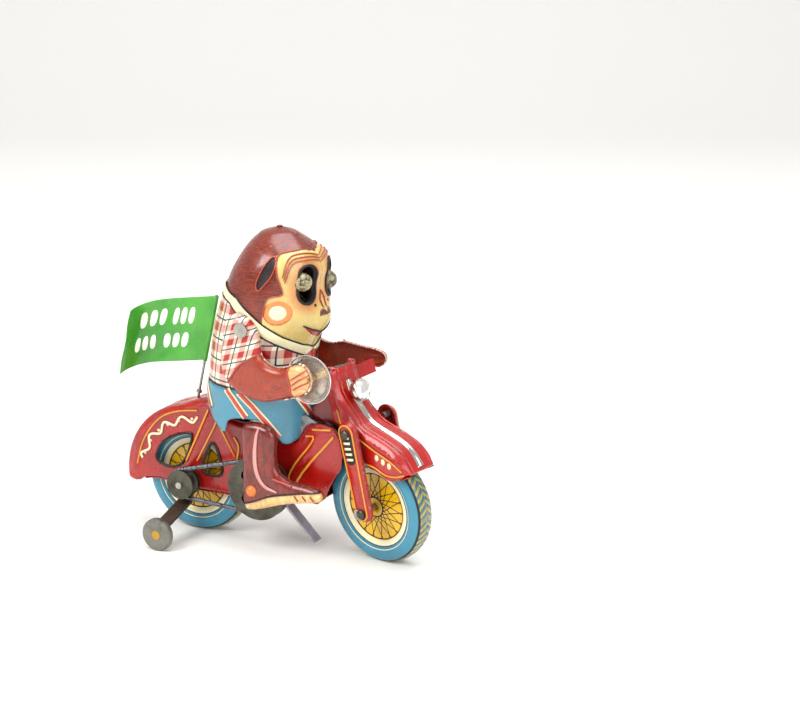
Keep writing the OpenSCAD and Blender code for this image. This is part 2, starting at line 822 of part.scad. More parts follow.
frame_shell_right();
frame_shell_left();
motor_plate_right();
motor_plate_left();
plate_pillars();
rider_bracket();
headstock();
hip_rod();
shoulder_rod();
eye_pin();
leg_right();
leg_left();
leg_rivets();
monkey_shell_right();
monkey_shell_left();
outrigger_arm_right();
outrigger_arm_left();
roller_pins();
lever_pin();
spring_belt();
foot_pin();
rear_wheel_right();
rear_wheel_left();
rear_axle_rod();
rear_pulley();
drive_shaft_rod();
drive_pulley();
drive_pinion();
cam();
idle_arbor_rod();
idle_wheel();
idle_pinion();
great_wheel();
mainspring();
key_arbor_rod();
winding_key();
ratchet_wheel();
fairing_right();
fairing_left();
fork_blade_right();
fork_blade_left();
blade_rivets();
steering_stem();
fender_trim();
headlamp();
handlebar();
front_axle_rod();
front_wheel_right();
front_wheel_left();
roller_right();
roller_left();
arm_right();
arm_left();
bell();
bell_rivet();
eye_rocker();
push_rod();
stop_lever();
flag_wire();
flag_sheet();
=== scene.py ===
"""Tin wind-up toy: a monkey rides a motorcycle and rings a bell. Printed, pressed tin around the CAD frame."""
import math
import bpy
import numpy as np
from mathutils import Matrix, Vector
from mathutils.geometry import delaunay_2d_cdt


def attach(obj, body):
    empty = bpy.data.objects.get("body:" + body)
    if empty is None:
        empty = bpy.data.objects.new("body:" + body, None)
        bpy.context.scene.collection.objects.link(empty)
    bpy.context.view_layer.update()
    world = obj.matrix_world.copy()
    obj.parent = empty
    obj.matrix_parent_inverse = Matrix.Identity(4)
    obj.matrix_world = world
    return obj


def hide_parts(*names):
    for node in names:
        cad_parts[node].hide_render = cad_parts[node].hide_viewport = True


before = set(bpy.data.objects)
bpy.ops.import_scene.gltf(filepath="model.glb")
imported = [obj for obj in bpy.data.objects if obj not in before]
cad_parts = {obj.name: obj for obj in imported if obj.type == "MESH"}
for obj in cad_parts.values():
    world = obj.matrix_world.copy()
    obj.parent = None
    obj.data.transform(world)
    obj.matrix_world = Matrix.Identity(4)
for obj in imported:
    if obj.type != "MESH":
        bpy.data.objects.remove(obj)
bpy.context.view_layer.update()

MM = 0.001
RIGHT, LEFT = -1, 1


# ---------------------------------------------------------------- geometry helpers

def arr(points):
    return np.asarray(points, float)


def resample(points, step, closed=True):
    """Points along a polyline, at most step apart, with its corners kept."""
    points = arr(points)
    out = []
    count = len(points) if closed else len(points) - 1
    for i in range(count):
        a, b = points[i], points[(i + 1) % len(points)]
        parts = max(1, math.ceil(np.linalg.norm(b - a) / step))
        out += [a + (b - a) * k / parts for k in range(parts)]
    if not closed:
        out.append(points[-1])
    return arr(out)


def rounded(points, times=2, closed=True):
    """The polyline with its corners cut a few times."""
    points = arr(points)
    for _ in range(times):
        following = np.roll(points, -1, 0) if closed else points[1:]
        here = points if closed else points[:-1]
        cut = np.stack([here * 0.75 + following * 0.25, here * 0.25 + following * 0.75], 1).reshape(-1, 2)
        points = cut if closed else np.vstack([points[:1], cut, points[-1:]])
    return points


def inside(points, loop):
    loop = arr(loop)
    after = np.roll(loop, -1, 0)
    x, y = points[:, :1], points[:, 1:]
    rise = after[:, 1] - loop[:, 1]
    rise = np.where(rise == 0, 1e-12, rise)
    crossed = ((loop[:, 1] > y) != (after[:, 1] > y)) & (
        x < (after[:, 0] - loop[:, 0]) * (y - loop[:, 1]) / rise + loop[:, 0])
    return crossed.sum(1) % 2 == 1


def distance(points, line, closed=True):
    """Distance from each point to a polyline."""
    line = arr(line)
    a = line if closed else line[:-1]
    b = np.roll(line, -1, 0) if closed else line[1:]
    ab = b - a
    length = np.maximum((ab ** 2).sum(1), 1e-12)
    ap = points[:, None] - a[None]
    t = np.clip((ap * ab).sum(2) / length, 0, 1)
    return np.sqrt(((ap - ab * t[..., None]) ** 2).sum(2)).min(1)


def signed(loop):
    loop = arr(loop)
    after = np.roll(loop, -1, 0)
    return 0.5 * (loop[:, 0] * after[:, 1] - after[:, 0] * loop[:, 1]).sum()


def anticlockwise(loop):
    return arr(loop) if signed(loop) > 0 else arr(loop)[::-1]


def fill(outline, holes=(), creases=(), step=1.0, rows=()):
    """A flat mesh inside an outline: its points, its triangles and the point numbers of each loop."""
    outline = anticlockwise(resample(outline, step))
    holes = [anticlockwise(resample(h, step)) for h in holes]
    lines = [outline, *holes]
    points = list(map(tuple, np.vstack(lines)))
    edges, loops, start = [], [], 0
    for line in lines:
        count = len(line)
        edges += [(start + i, start + (i + 1) % count) for i in range(count)]
        loops.append(range(start, start + count))
        start += count
    guard = [(line, True) for line in lines]
    beside = []
    for crease, closed in creases:
        crease = resample(crease, step, closed)
        count = len(crease)
        edges += [(start + i, start + (i + 1) % count) for i in range(count if closed else count - 1)]
        points += list(map(tuple, crease))
        start += count
        guard.append((crease, closed))
    for gap in rows:
        ahead_of = np.roll(outline, -1, 0) - np.roll(outline, 1, 0)
        ahead_of /= np.maximum(np.linalg.norm(ahead_of, axis=1, keepdims=True), 1e-9)
        row = outline + np.c_[-ahead_of[:, 1], ahead_of[:, 0]] * gap
        row = row[inside(row, outline)]
        row = row[distance(row, outline) > gap * 0.93]
        for line, closed in guard[1:]:
            row = row[distance(row, line, closed) > step * 0.3]
        points += list(map(tuple, row))
        beside.append(row)
    low, high = outline.min(0), outline.max(0)
    levels = np.arange(low[1] + step * 0.5, high[1], step * 0.87)
    grid = arr([(x + (step * 0.5 if j % 2 else 0), y) for j, y in enumerate(levels)
                for x in np.arange(low[0] + step * 0.3, high[0], step)])
    if len(grid):
        keep = inside(grid, outline)
        for hole in holes:
            keep &= ~inside(grid, hole)
        grid = grid[keep]
    for line, closed in guard:
        if len(grid):
            grid = grid[distance(grid, line, closed) > step * 0.45]
    for row in beside:
        if len(grid) and len(row):
            grid = grid[((grid[:, None] - row[None]) ** 2).sum(2).min(1) > (step * 0.5) ** 2]
    points += list(map(tuple, grid))
    flat = [Vector(p) for p in points]
    coords, _, faces, origin, _, _ = delaunay_2d_cdt(flat, edges, [], 0, 1e-5)
    coords = arr([tuple(c) for c in coords])
    number = {}
    for new, olds in enumerate(origin):
        for old in olds:
            number[old] = new
    faces = arr(faces).astype(int)
    centre = coords[faces].mean(1)
    keep = inside(centre, outline)
    for hole in holes:
        keep &= ~inside(centre, hole)
    faces, centre = faces[keep], centre[keep]
    a, b, c = coords[faces[:, 0]], coords[faces[:, 1]], coords[faces[:, 2]]
    cross = (b[:, 0] - a[:, 0]) * (c[:, 1] - a[:, 1]) - (b[:, 1] - a[:, 1]) * (c[:, 0] - a[:, 0])
    faces[cross < 0] = faces[cross < 0][:, ::-1]
    faces, centre = faces[np.abs(cross) > 1e-7], centre[np.abs(cross) > 1e-7]
    return coords, faces, [[number[i] for i in loop] for loop in loops], centre


def hermite(table, column):
    """A smooth curve through one column of a table whose first column is the place."""
    table = arr(table)
    x, y = table[:, 0], table[:, column]
    slope = np.gradient(y, x)

    def curve(at):
        at = np.clip(at, x[0], x[-1])
        i = np.clip(np.searchsorted(x, at) - 1, 0, len(x) - 2)
        span = x[i + 1] - x[i]
        t = (at - x[i]) / span
        return ((2 * t ** 3 - 3 * t ** 2 + 1) * y[i] + (t ** 3 - 2 * t ** 2 + t) * span * slope[i]
                + (3 * t ** 2 - 2 * t ** 3) * y[i + 1] + (t ** 3 - t ** 2) * span * slope[i + 1])
    return curve


def surface(place, flip=1, tiny=0.02):
    """Gives the points and the outward normals of a curved sheet at flat positions."""
    def read(flat):
        flat = arr(flat)
        across = place(flat + [tiny, 0]) - place(flat - [tiny, 0])
        along = place(flat + [0, tiny]) - place(flat - [0, tiny])
        normal = np.cross(across, along) * flip
        return place(flat), normal / np.maximum(np.linalg.norm(normal, axis=1, keepdims=True), 1e-9)
    return read


def gauss(x, centre, width):
    return np.exp(-((x - centre) / width) ** 2)


def shoulder_drop(d, radius):
    """How far a rounded edge falls back, at distance d from the outline."""
    t = np.clip(d / radius, 0, 1)
    return radius * (1 - np.sqrt(np.maximum(0, 1 - (1 - t) ** 2)))


def arc(centre, radius, start, end, count=16):
    turn = np.radians(np.linspace(start, end, count))
    return arr(centre) + radius * np.stack([np.cos(turn), np.sin(turn)], 1)


def circle(centre, radius, count=32):
    return arc(centre, radius, 0, 360 * (count - 1) / count, count)


def capsule(a, ra, b, rb, count=14):
    """Outline round two circles."""
    a, b = arr(a), arr(b)
    d = b - a
    turn = math.degrees(math.atan2(d[1], d[0]))
    spread = math.degrees(math.acos((ra - rb) / np.linalg.norm(d)))
    return np.vstack([arc(a, ra, turn + spread, turn + 360 - spread, count),
                      arc(b, rb, turn - spread, turn + spread, count)])


class Piece:
    """One named mesh, collected from parts in millimetres and then put on its body."""

    def __init__(self, name, body, slot, *nodes, turn=None):
        self.name, self.body, self.slot, self.nodes, self.turn = name, body, slot, nodes, turn
        self.verts, self.faces, self.mats, self.chart, self.rub, self.used = [], [], [], [], [], []
        self.count = 0

    def add(self, verts, faces, mat, chart=None, rub=None):
        """mat is one material, or one per face."""
        verts = arr(verts)
        self.verts.append(verts)
        self.faces += [[int(i) + self.count for i in f] for f in faces]
        for m in (mat if isinstance(mat, list) else [mat] * len(faces)):
            if m not in self.used:
                self.used.append(m)
            self.mats.append(self.used.index(m))
        self.chart.append(np.zeros((len(verts), 3)) if chart is None else arr(chart))
        self.rub.append(np.zeros(len(verts)) if rub is None else arr(rub))
        self.count += len(verts)
        return self

    def grid(self, rows, mat, wrap=True, flip=False, chart=None, rub=None, caps=False):
        """Rows of points joined into a sheet; wrap closes each row."""
        rows = arr(rows)
        n, m = rows.shape[:2]
        faces = []
        for i in range(n - 1):
            for j in range(m if wrap else m - 1):
                a, b = i * m + j, i * m + (j + 1) % m
                q = [a, b, b + m, a + m]
                faces.append(q[::-1] if flip else q)
        if caps:
            first, last = list(range(m)), list(range((n - 1) * m, n * m))
            faces += [first, last[::-1]] if flip else [first[::-1], last]
        return self.add(rows.reshape(-1, 3), faces, mat, chart, rub)

    def lathe(self, profile, axis_at, mat, axis="y", sign=1, count=48, mats=None, rub=None):
        """Turned about a line through axis_at. The profile is [radius, distance along the axis]."""
        profile = arr(profile)
        turn = np.linspace(0, 2 * math.pi, count, endpoint=False)
        rows = []
        for r, h in profile:
            c, s, k = r * np.cos(turn), r * np.sin(turn), np.full(count, sign * h)
            rows.append(np.stack([c, k, s] if axis == "y" else [c, s, k], 1) + arr(axis_at))
        flip = (axis == "y") == (sign > 0)
        start = len(self.mats)
        chart = np.stack([np.stack([np.degrees(turn), np.full(count, r), np.full(count, h)], 1) for r, h in profile])
        rubs = None if rub is None else np.repeat(arr(rub), count)
        self.grid(rows, mat, flip=flip, chart=chart.reshape(-1, 3), rub=rubs)
        if mats is not None:
            for m in mats:
                if m not in self.used:
                    self.used.append(m)
            for i in range(len(profile) - 1):
                for j in range(count):
                    self.mats[start + i * count + j] = self.used.index(mats[i])
        return self

    def tube(self, path, radius, mat, sides=12, caps=True, closed=False):
        path = arr(path)
        radius = np.full(len(path), radius) if np.isscalar(radius) else arr(radius)
        tangent = np.gradient(path, axis=0) if not closed else np.roll(path, -1, 0) - np.roll(path, 1, 0)
        tangent /= np.linalg.norm(tangent, axis=1, keepdims=True)
        side = np.cross(tangent[0], [0.31, 0.2, 0.93])
        side /= np.linalg.norm(side)
        turn = np.linspace(0, 2 * math.pi, sides, endpoint=False)
        rows = []
        for p, t, r in zip(path, tangent, radius):
            side = side - t * side.dot(t)
            side /= np.linalg.norm(side)
            up = np.cross(t, side)
            rows.append(p + r * (np.cos(turn)[:, None] * side + np.sin(turn)[:, None] * up))
        if closed:
            rows.append(rows[0])
        return self.grid(rows, mat, flip=False, caps=caps and not closed)

    def ribbon(self, read, line, width, mat, lift=0.04, closed=False, taper=0):
        """A printed line that lies on a surface."""
        line = resample(line, 0.8, closed)
        if closed:
            line = np.vstack([line, line[:1]])
        centre, normal = read(line)
        tangent = np.gradient(centre, axis=0)
        if closed:
            tangent[0] = tangent[-1] = centre[1] - centre[-2]
        side = np.cross(normal, tangent)
        side /= np.maximum(np.linalg.norm(side, axis=1, keepdims=True), 1e-9)
        t = np.linspace(0, 1, len(line))
        half = width / 2 * (1 if not taper else np.maximum(0.12, np.sin(math.pi * t) ** taper))[:, None] \
            if taper else np.full((len(line), 1), width / 2)
        rows = np.stack([centre - side * half + normal * lift, centre + normal * lift * 1.3,
                         centre + side * half + normal * lift], 1)
        return self.grid(rows, mat, wrap=False, flip=False)

    def patch(self, read, outline, mat, lift=0.03, step=0.8, holes=()):
        """A printed area that lies on a surface."""
        flat, faces, _, _ = fill(outline, holes, step=step)
        centre, normal = read(flat)
        a, b, c = (centre[faces[:, k]] for k in range(3))
        facing = (np.cross(b - a, c - a) * normal[faces[:, 0]]).sum(1)
        faces = [f if s > 0 else f[::-1] for f, s in zip(faces.tolist(), facing)]
        return self.add(centre + normal * lift, faces, mat, chart=np.c_[flat, np.zeros(len(flat))])

    def done(self, smooth=38, thickness=0, bevel=0):
        verts = np.vstack(self.verts)
        if self.turn is not None:
            verts = (arr(self.turn.to_3x3()) @ verts.T).T + arr(self.turn.translation)
        mesh = bpy.data.meshes.new(self.name)
        mesh.from_pydata((verts * MM).tolist(), [], self.faces)
        for m in self.used:
            mesh.materials.append(m)
        mesh.polygons.foreach_set("material_index", self.mats)
        for name, kind, data in (("chart", "FLOAT_VECTOR", np.vstack(self.chart)),
                                 ("rub", "FLOAT", np.concatenate(self.rub))):
            attribute = mesh.attributes.new(name, kind, "POINT")
            attribute.data.foreach_set("vector" if kind == "FLOAT_VECTOR" else "value",
                                       data.astype(np.float32).ravel())
        mesh.validate()
        mesh.shade_smooth()
        mesh.set_sharp_from_angle(angle=math.radians(smooth))
        obj = bpy.data.objects.new(self.name, mesh)
        bpy.context.scene.collection.objects.link(obj)
        if thickness:
            solid = obj.modifiers.new("tin", "SOLIDIFY")
            solid.thickness, solid.offset = thickness * MM, -1
        if bevel:
            edge = obj.modifiers.new("edge", "BEVEL")
            edge.width, edge.segments, edge.limit_method = bevel * MM, 2, "ANGLE"
        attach(obj, self.body)
        if self.nodes:
            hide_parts(*self.nodes)
        return obj


def pressed(piece, outline, face, seam, side, mat, radius=2.0, holes=(), areas=(), relief=None, step=0.8,
            lip=0.7, rim_rows=3, chart=None, rim_mat=None):
    """One pressed half: a face at distance face from the middle plane, rounded into a rim that ends at seam,
    a distance or a function that gives one for each edge point. areas are (outline, material); relief(points, d) raises or sinks the face."""
    outline = anticlockwise(outline)

    def out_at(flat):
        d = np.where(inside(flat, outline), distance(flat, outline), 0)
        rise = 0 if relief is None else relief(flat, d)
        return face - shoulder_drop(d, radius) + rise

    def place(flat):
        return np.stack([flat[:, 0], side * out_at(flat), flat[:, 1]], 1)

    flat, faces, loops, centre = fill(outline, holes, [(a[0], True) for a in areas], step,
                                      [radius * k for k in (0.07, 0.24, 0.5, 0.85)])
    mats = [mat] * len(faces)
    for area, area_mat in areas:
        for i in np.nonzero(inside(centre, anticlockwise(area)))[0]:
            mats[i] = area_mat
    d = distance(flat, outline)
    for hole in holes:
        d = np.minimum(d, distance(flat, hole))
    faces = faces if side == RIGHT else faces[:, ::-1]
    charts = np.c_[flat, d] if chart is None else chart(flat, d)
    verts = place(flat)
    piece.add(verts, faces.tolist(), mats, charts, np.exp(-d / 0.35))
    edge = verts[loops[0]]
    rows = [edge]
    end = side * (seam(edge[:, [0, 2]]) if callable(seam) else seam)
    for k in range(1, rim_rows + 1):
        row = edge.copy()
        row[:, 1] = edge[:, 1] + (end - edge[:, 1]) * k / rim_rows
        rows.append(row)
    rub = np.zeros((rim_rows + 1, len(edge)))
    rub[0] = 0.5
    rub[-1] = 0.35
    closed_rows = arr(rows)
    piece.grid(closed_rows, rim_mat or mat, flip=(side == RIGHT), rub=rub.ravel(),
               chart=np.tile(charts[loops[0]], (rim_rows + 1, 1)))
    for loop in loops[1:]:
        edge = verts[loop]
        back = edge.copy()
        back[:, 1] -= side * lip
        piece.grid([edge, back], mat, flip=(side == LEFT), rub=np.r_[np.ones(len(edge)), np.ones(len(edge))])
    return surface(place, 1 if side == RIGHT else -1)


# ---------------------------------------------------------------- materials

def rgb(code):
    """A linear colour from a six-digit hexadecimal one."""
    parts = [int(code[i:i + 2], 16) / 255 for i in (0, 2, 4)]
    return tuple(p / 12.92 if p <= 0.04045 else ((p + 0.055) / 1.055) ** 2.4 for p in parts) + (1.0,)


class Nodes:
    """A material and short ways to add nodes to it."""

    def __init__(self, name):
        self.mat = bpy.data.materials.new(name)
        self.mat.use_nodes = True
        self.tree = self.mat.node_tree
        self.tree.nodes.clear()
        self.shader = self.new("ShaderNodeBsdfPrincipled")
        self.tree.links.new(self.shader.outputs[0], self.new("ShaderNodeOutputMaterial").inputs[0])
        self.position = self.new("ShaderNodeTexCoord").outputs["Object"]

    def new(self, kind, **values):
        node = self.tree.nodes.new(kind)
        for key, value in values.items():
            setattr(node, key, value)
        return node

    def put(self, socket, value):
        if isinstance(value, bpy.types.NodeSocket):
            self.tree.links.new(value, socket)
        elif isinstance(value, str):
            socket.default_value = rgb(value)
        else:
            socket.default_value = value

    def math(self, kind, a, b=0.0, clamp=False):
        node = self.new("ShaderNodeMath", operation=kind, use_clamp=clamp)
        self.put(node.inputs[0], a)
        self.put(node.inputs[1], b)
        return node.outputs[0]

    def mix(self, share, a, b, blend="MIX"):
        node = self.new("ShaderNodeMix", data_type="RGBA", blend_type=blend)
        self.put(node.inputs[0], share)
        self.put(node.inputs[6], a)
        self.put(node.inputs[7], b)
        return node.outputs[2]

    def range(self, value, low, high, start=0.0, end=1.0):
        node = self.new("ShaderNodeMapRange", interpolation_type="SMOOTHSTEP")
        for i, v in enumerate((value, low, high, start, end)):
            self.put(node.inputs[i], v)
        return node.outputs[0]

    def noise(self, scale, detail=3.0, rough=0.55, at=None, stretch=None):
        node = self.new("ShaderNodeTexNoise")
        at = self.position if at is None else at
        if stretch is not None:
            mapping = self.new("ShaderNodeMapping")
            self.put(mapping.inputs["Vector"], at)
            mapping.inputs["Scale"].default_value = stretch
            at = mapping.outputs[0]
        self.put(node.inputs["Vector"], at)
        self.put(node.inputs["Scale"], float(scale))
        self.put(node.inputs["Detail"], float(detail))
        self.put(node.inputs["Roughness"], float(rough))
        return node.outputs[0]

    def named(self, name):
        """A value kept on the mesh: its vector and its plain number."""
        node = self.new("ShaderNodeAttribute", attribute_name=name)
        return node.outputs["Vector"], node.outputs["Fac"]

    def split(self, vector):
        node = self.new("ShaderNodeSeparateXYZ")
        self.put(node.inputs[0], vector)
        return node.outputs

    def bump(self, height, strength, depth=0.0002):
        node = self.new("ShaderNodeBump")
        node.inputs["Strength"].default_value = strength
        node.inputs["Distance"].default_value = depth
        self.put(node.inputs["Height"], height)
        self.put(self.shader.inputs["Normal"], node.outputs[0])


def tin(name, base, rough=0.3, wear=0.5, speckle=0.5, cloud=0.2, coat=0.35, bare="8a8078"):
    """Printed tin: ink over metal, with cloudy ink, chips along its edges, scratches and specks."""
    n = Nodes(name)
    colour = base(n) if callable(base) else rgb(base)
    soft = n.noise(70, 2)
    colour = n.mix(n.range(soft, 0.35, 0.7, 0.0, cloud), colour, "3a1410" if cloud > 0.25 else "5c3a28", "MULTIPLY")
    fine = n.noise(900, 4, 0.7)
    colour = n.mix(n.range(fine, 0.3, 0.75, 0.0, 0.12), colour, "ffffff", "SOFT_LIGHT")
    rub = n.named("rub")[1]
    chips = n.math("ADD", n.math("MULTIPLY", rub, 0.42 * wear), n.noise(420, 5, 0.7))
    chips = n.range(chips, 0.74, 0.80)
    scratch = n.noise(60, 3, 0.75, stretch=(38.0, 20.0, 3.0))
    scratch = n.math("MULTIPLY", n.range(scratch, 0.695, 0.72), 0.55 * wear)
    speck = n.math("MULTIPLY", n.range(n.noise(1500, 2, 0.5), 0.735, 0.77), speckle)
    dark = n.math("MULTIPLY", n.range(n.noise(1100, 2, 0.5, stretch=(1.0, 1.1, 0.9)), 0.73, 0.77), speckle * 0.6)
    colour = n.mix(dark, colour, "2a1712")
    colour = n.mix(n.math("MAXIMUM", speck, scratch), colour, "cfc3ae")
    colour = n.mix(chips, colour, bare)
    n.put(n.shader.inputs["Base Color"], colour)
    n.put(n.shader.inputs["Metallic"], n.math("MULTIPLY", chips, 0.7))
    n.put(n.shader.inputs["Roughness"], n.range(n.noise(160, 3), 0.3, 0.7, rough * 0.8, rough * 1.35))
    n.shader.inputs["Coat Weight"].default_value = coat
    n.shader.inputs["Coat Roughness"].default_value = 0.16
    height = n.math("SUBTRACT", n.math("MULTIPLY", n.noise(230, 2), 0.5), n.math("MULTIPLY", chips, 0.35))
    n.bump(height, 0.22)
    return n.mat


def metal(name, base, rough=0.3, dull=0.4, stain="3a2c20", metallic=0.95, brushed=None, grain=300):
    """Bare or plated metal with clouds of tarnish and fine scratches."""
    n = Nodes(name)
    tarnish = n.noise(110, 5, 0.65)
    colour = n.mix(n.range(tarnish, 0.42, 0.75, 0.0, dull), base, stain)
    pits = n.range(n.noise(1300, 3, 0.6), 0.66, 0.74, 0.0, dull)
    colour = n.mix(pits, colour, stain)
    n.put(n.shader.inputs["Base Color"], colour)
    n.shader.inputs["Metallic"].default_value = metallic
    n.put(n.shader.inputs["Roughness"], n.range(n.noise(grain, 4, 0.6, stretch=brushed), 0.3, 0.75,
                                                rough * 0.7, min(1.0, rough * 1.7)))
    n.bump(n.noise(grain * 2, 3, 0.6, stretch=brushed), 0.18 if dull > 0.2 else 0.03)
    return n.mat


def plaid(period, slant=0.0):
    """Cream cloth with red checks and thin blue-grey lines, printed."""
    def paint(n):
        x, y, _ = n.split(n.named("chart")[0])
        bands, lines = [], []
        for a, b, shift in ((x, y, 0.0), (y, x, 0.35)):
            place = n.math("ADD", n.math("DIVIDE", n.math("ADD", a, n.math("MULTIPLY", b, slant)), period), 40.0 + shift)
            part = n.math("FRACT", place)
            bands.append(n.math("MULTIPLY", n.range(part, 0.27, 0.31), n.range(part, 0.69, 0.73, 1.0, 0.0)))
            lines.append(n.math("MULTIPLY", n.range(part, 0.90, 0.915), n.range(part, 0.985, 0.999, 1.0, 0.0)))
        one = n.math("MAXIMUM", bands[0], bands[1])
        both = n.math("MULTIPLY", bands[0], bands[1])
        colour = n.mix(n.math("MULTIPLY", one, 0.55), "e6dcc0", "b81e22")
        colour = n.mix(both, colour, "a30c12")
        return n.mix(n.math("MAXIMUM", *lines), colour, "22344e")
    return paint


def fur(dark, mid, light, along=0.22, across=3.2, glow=None):
    """Fine printed hair that runs along the chart's first direction; glow lightens near the chart's third value 0."""
    def paint(n):
        chart = n.named("chart")[0]
        strand = n.noise(1.0, 4, 0.75, at=chart, stretch=(along, across, 0.0))
        strand_fine = n.noise(2.3, 3, 0.7, at=chart, stretch=(along, across, 0.0))
        colour = n.mix(n.range(strand, 0.42, 0.58), dark, mid)
        colour = n.mix(n.range(strand_fine, 0.55, 0.72, 0.0, 0.75), colour, light)
        if glow:
            near = n.split(chart)[2]
            colour = n.mix(n.range(near, 0.2, 2.4, 0.72, 0.0), colour, glow)
        return colour
    return paint


def face_ink(n):
    """Cream face, warmer round the eyes, where the chart's third value is small."""
    near = n.split(n.named("chart")[0])[2]
    return n.mix(n.range(near, 0.8, 5.2, 0.62, 0.0), "cdb46a", "c2582c")


def tread_ink(n):
    """Slanted blue and olive bars; the chart gives degrees, radius and distance from the middle."""
    turn, _, out = n.split(n.named("chart")[0])
    part = n.math("FRACT", n.math("ADD", n.math("DIVIDE", turn, 7.5), n.math("MULTIPLY", out, 0.34)))
    colour = n.mix(n.range(part, 0.42, 0.5), "a89a3c", "356a7c")
    return n.mix(n.range(part, 0.9, 0.94), colour, "2c2a1c")


def flag_vinyl():
    n = Nodes("flag_green")
    colour = n.mix(n.range(n.noise(45, 2), 0.3, 0.7), "2a8a16", "4aa62c")
    colour = n.mix(n.range(n.noise(700, 4, 0.7), 0.62, 0.8, 0.0, 0.35), colour, "1d6b12")
    n.put(n.shader.inputs["Base Color"], colour)
    n.put(n.shader.inputs["Roughness"], n.range(n.noise(150, 3), 0.3, 0.7, 0.22, 0.42))
    n.shader.inputs["Subsurface Weight"].default_value = 0.25
    n.shader.inputs["Subsurface Radius"].default_value = (0.002, 0.004, 0.001)
    n.shader.inputs["Coat Weight"].default_value = 0.4
    n.bump(n.noise(220, 3), 0.25)
    return n.mat


RED = tin("tin_red", "a01008", 0.27, 0.6, cloud=0.3)
# a darker copy of the red tin: painted shade for recessed red parts
RED_PAINTED_SHADE = tin("tin_red_painted_shade", "760c08", 0.3, 0.5, cloud=0.35)
RED_FENDER = tin("tin_red_front", "a5120a", 0.25, 0.5, cloud=0.22)
LINE = tin("ink_orange", "d98a1c", 0.3, 0.0, 0.2, 0.1)
INK = tin("ink_black", "0a0807", 0.5, 0.0, 0.15, 0.0, 0.05)
CREAM = tin("ink_cream", "e7dcb2", 0.3, 0.2, 0.4, 0.12)
HAIR = tin("ink_hair", fur("4a1208", "882a10", "b85a2a"), 0.27, 0.5, 0.7, 0.25)
ARM_FUR = tin("ink_arm", fur("741a08", "a8340e", "d4702e"), 0.27, 0.5, 0.6, 0.15)
HAND = tin("ink_hand", fur("d98f56", "e7b97c", "f0d6a4", 0.3, 0.5), 0.28, 0.4, 0.5, 0.1)
LEG = tin("ink_leg", fur("3c0a06", "5f120b", "7c2216", 0.6, 0.35), 0.26, 0.5, 0.7, 0.2)
SOLE = tin("ink_sole", fur("d9a860", "e3c184", "eed6a0", 0.2, 0.5), 0.3, 0.4, 0.5, 0.2)
FACE = tin("ink_face", face_ink, 0.27, 0.3, 0.35, 0.1)
SHIRT = tin("ink_shirt", plaid(7.4), 0.3, 0.3, 0.3, 0.1)
SLEEVE = tin("ink_sleeve", plaid(5.3, 0.3), 0.3, 0.3, 0.3, 0.08)
BLUE = tin("ink_blue", "3f8299", 0.3, 0.5, 0.5, 0.18)
STRIPE = tin("ink_stripe", "b93a2c", 0.3, 0.2, 0.4, 0.1)
BLUSH = tin("ink_blush", "d9803f", 0.3, 0.1, 0.3, 0.1)
BROW = tin("ink_brow", "a3381f", 0.3, 0.0, 0.2, 0.0)
NOSE = tin("ink_nose", "5c2a22", 0.3, 0.0, 0.2, 0.0)
MOUTH = tin("ink_mouth", "a02a1e", 0.3, 0.0, 0.2, 0.0)
# near-black: the ear's printed hollow, and painted shade on the eye slot's inside wall
EAR_INK_AND_SLOT_SHADE = tin("ink_ear_and_slot_shade", "140806", 0.6, 0.0, 0.2, 0.0, 0.0)
TYRE = tin("ink_tyre", "2f7f98", 0.32, 0.5, 0.4, 0.2)
RIM = tin("ink_rim", "e9dfb6", 0.3, 0.3, 0.4, 0.12)
DISC = tin("ink_disc", "dba800", 0.28, 0.2, 0.4, 0.15)
TREAD = tin("ink_tread", tread_ink, 0.35, 0.8, 0.6, 0.25)
ORANGE = tin("ink_rivet", "d8742c", 0.28, 0.5, 0.6, 0.15)
CHROME = metal("plate_chrome", "d2cec4", 0.12, 0.35, "5a5146", 1.0)
BELL = metal("plate_bell", "f0ede6", 0.2, 0.1, "8a8274", 0.8)
STEEL = metal("steel_rod", "a8a69e", 0.3, 0.4)
SHEET_STEEL = metal("steel_sheet", "9fa2a6", 0.34, 0.35)
# lilac-grey steel: the lilac in its base and stain colours is painted reflection of the red body; the stain clouds
# themselves are tarnish
LEVER_PAINTED_REFLECTION = metal("steel_lever_painted_reflection", "aaa3ad", 0.42, 0.4, "6b5f6c", 0.6)
DARK_STEEL = metal("steel_dark", "5c5a50", 0.42, 0.6, "2a2019")
STRAP = metal("steel_strap", "4a3c30", 0.5, 0.7, "1e1510", 0.6)
ROLLER = metal("steel_roller", "7d7b72", 0.5, 0.95, "2c2822", 0.55)
SPRING = metal("steel_spring", "7e8388", 0.36, 0.4)
BRASS = metal("brass", "b8923f", 0.3, 0.4, "4a3716")
EYE = tin("foil_eye", lambda n: n.mix(n.range(n.noise(420, 5, 0.8), 0.43, 0.57), "16140e", "a3966a"), 0.4, 0.2, 0.6)
FLAG = flag_vinyl()


# ---------------------------------------------------------------- motorcycle body

REAR_AXLE, FRONT_AXLE = (-34.0, 21.0), (41.5, 21.0)
AXIS_FOOT = Vector((38.5, 0, 21))
AXIS = Vector((-math.sin(math.radians(16.5)), 0, math.cos(math.radians(16.5))))
STEER = Matrix.Translation(AXIS_FOOT) @ Matrix.Rotation(math.radians(-15), 4, AXIS) @ Matrix.Translation(-AXIS_FOOT)

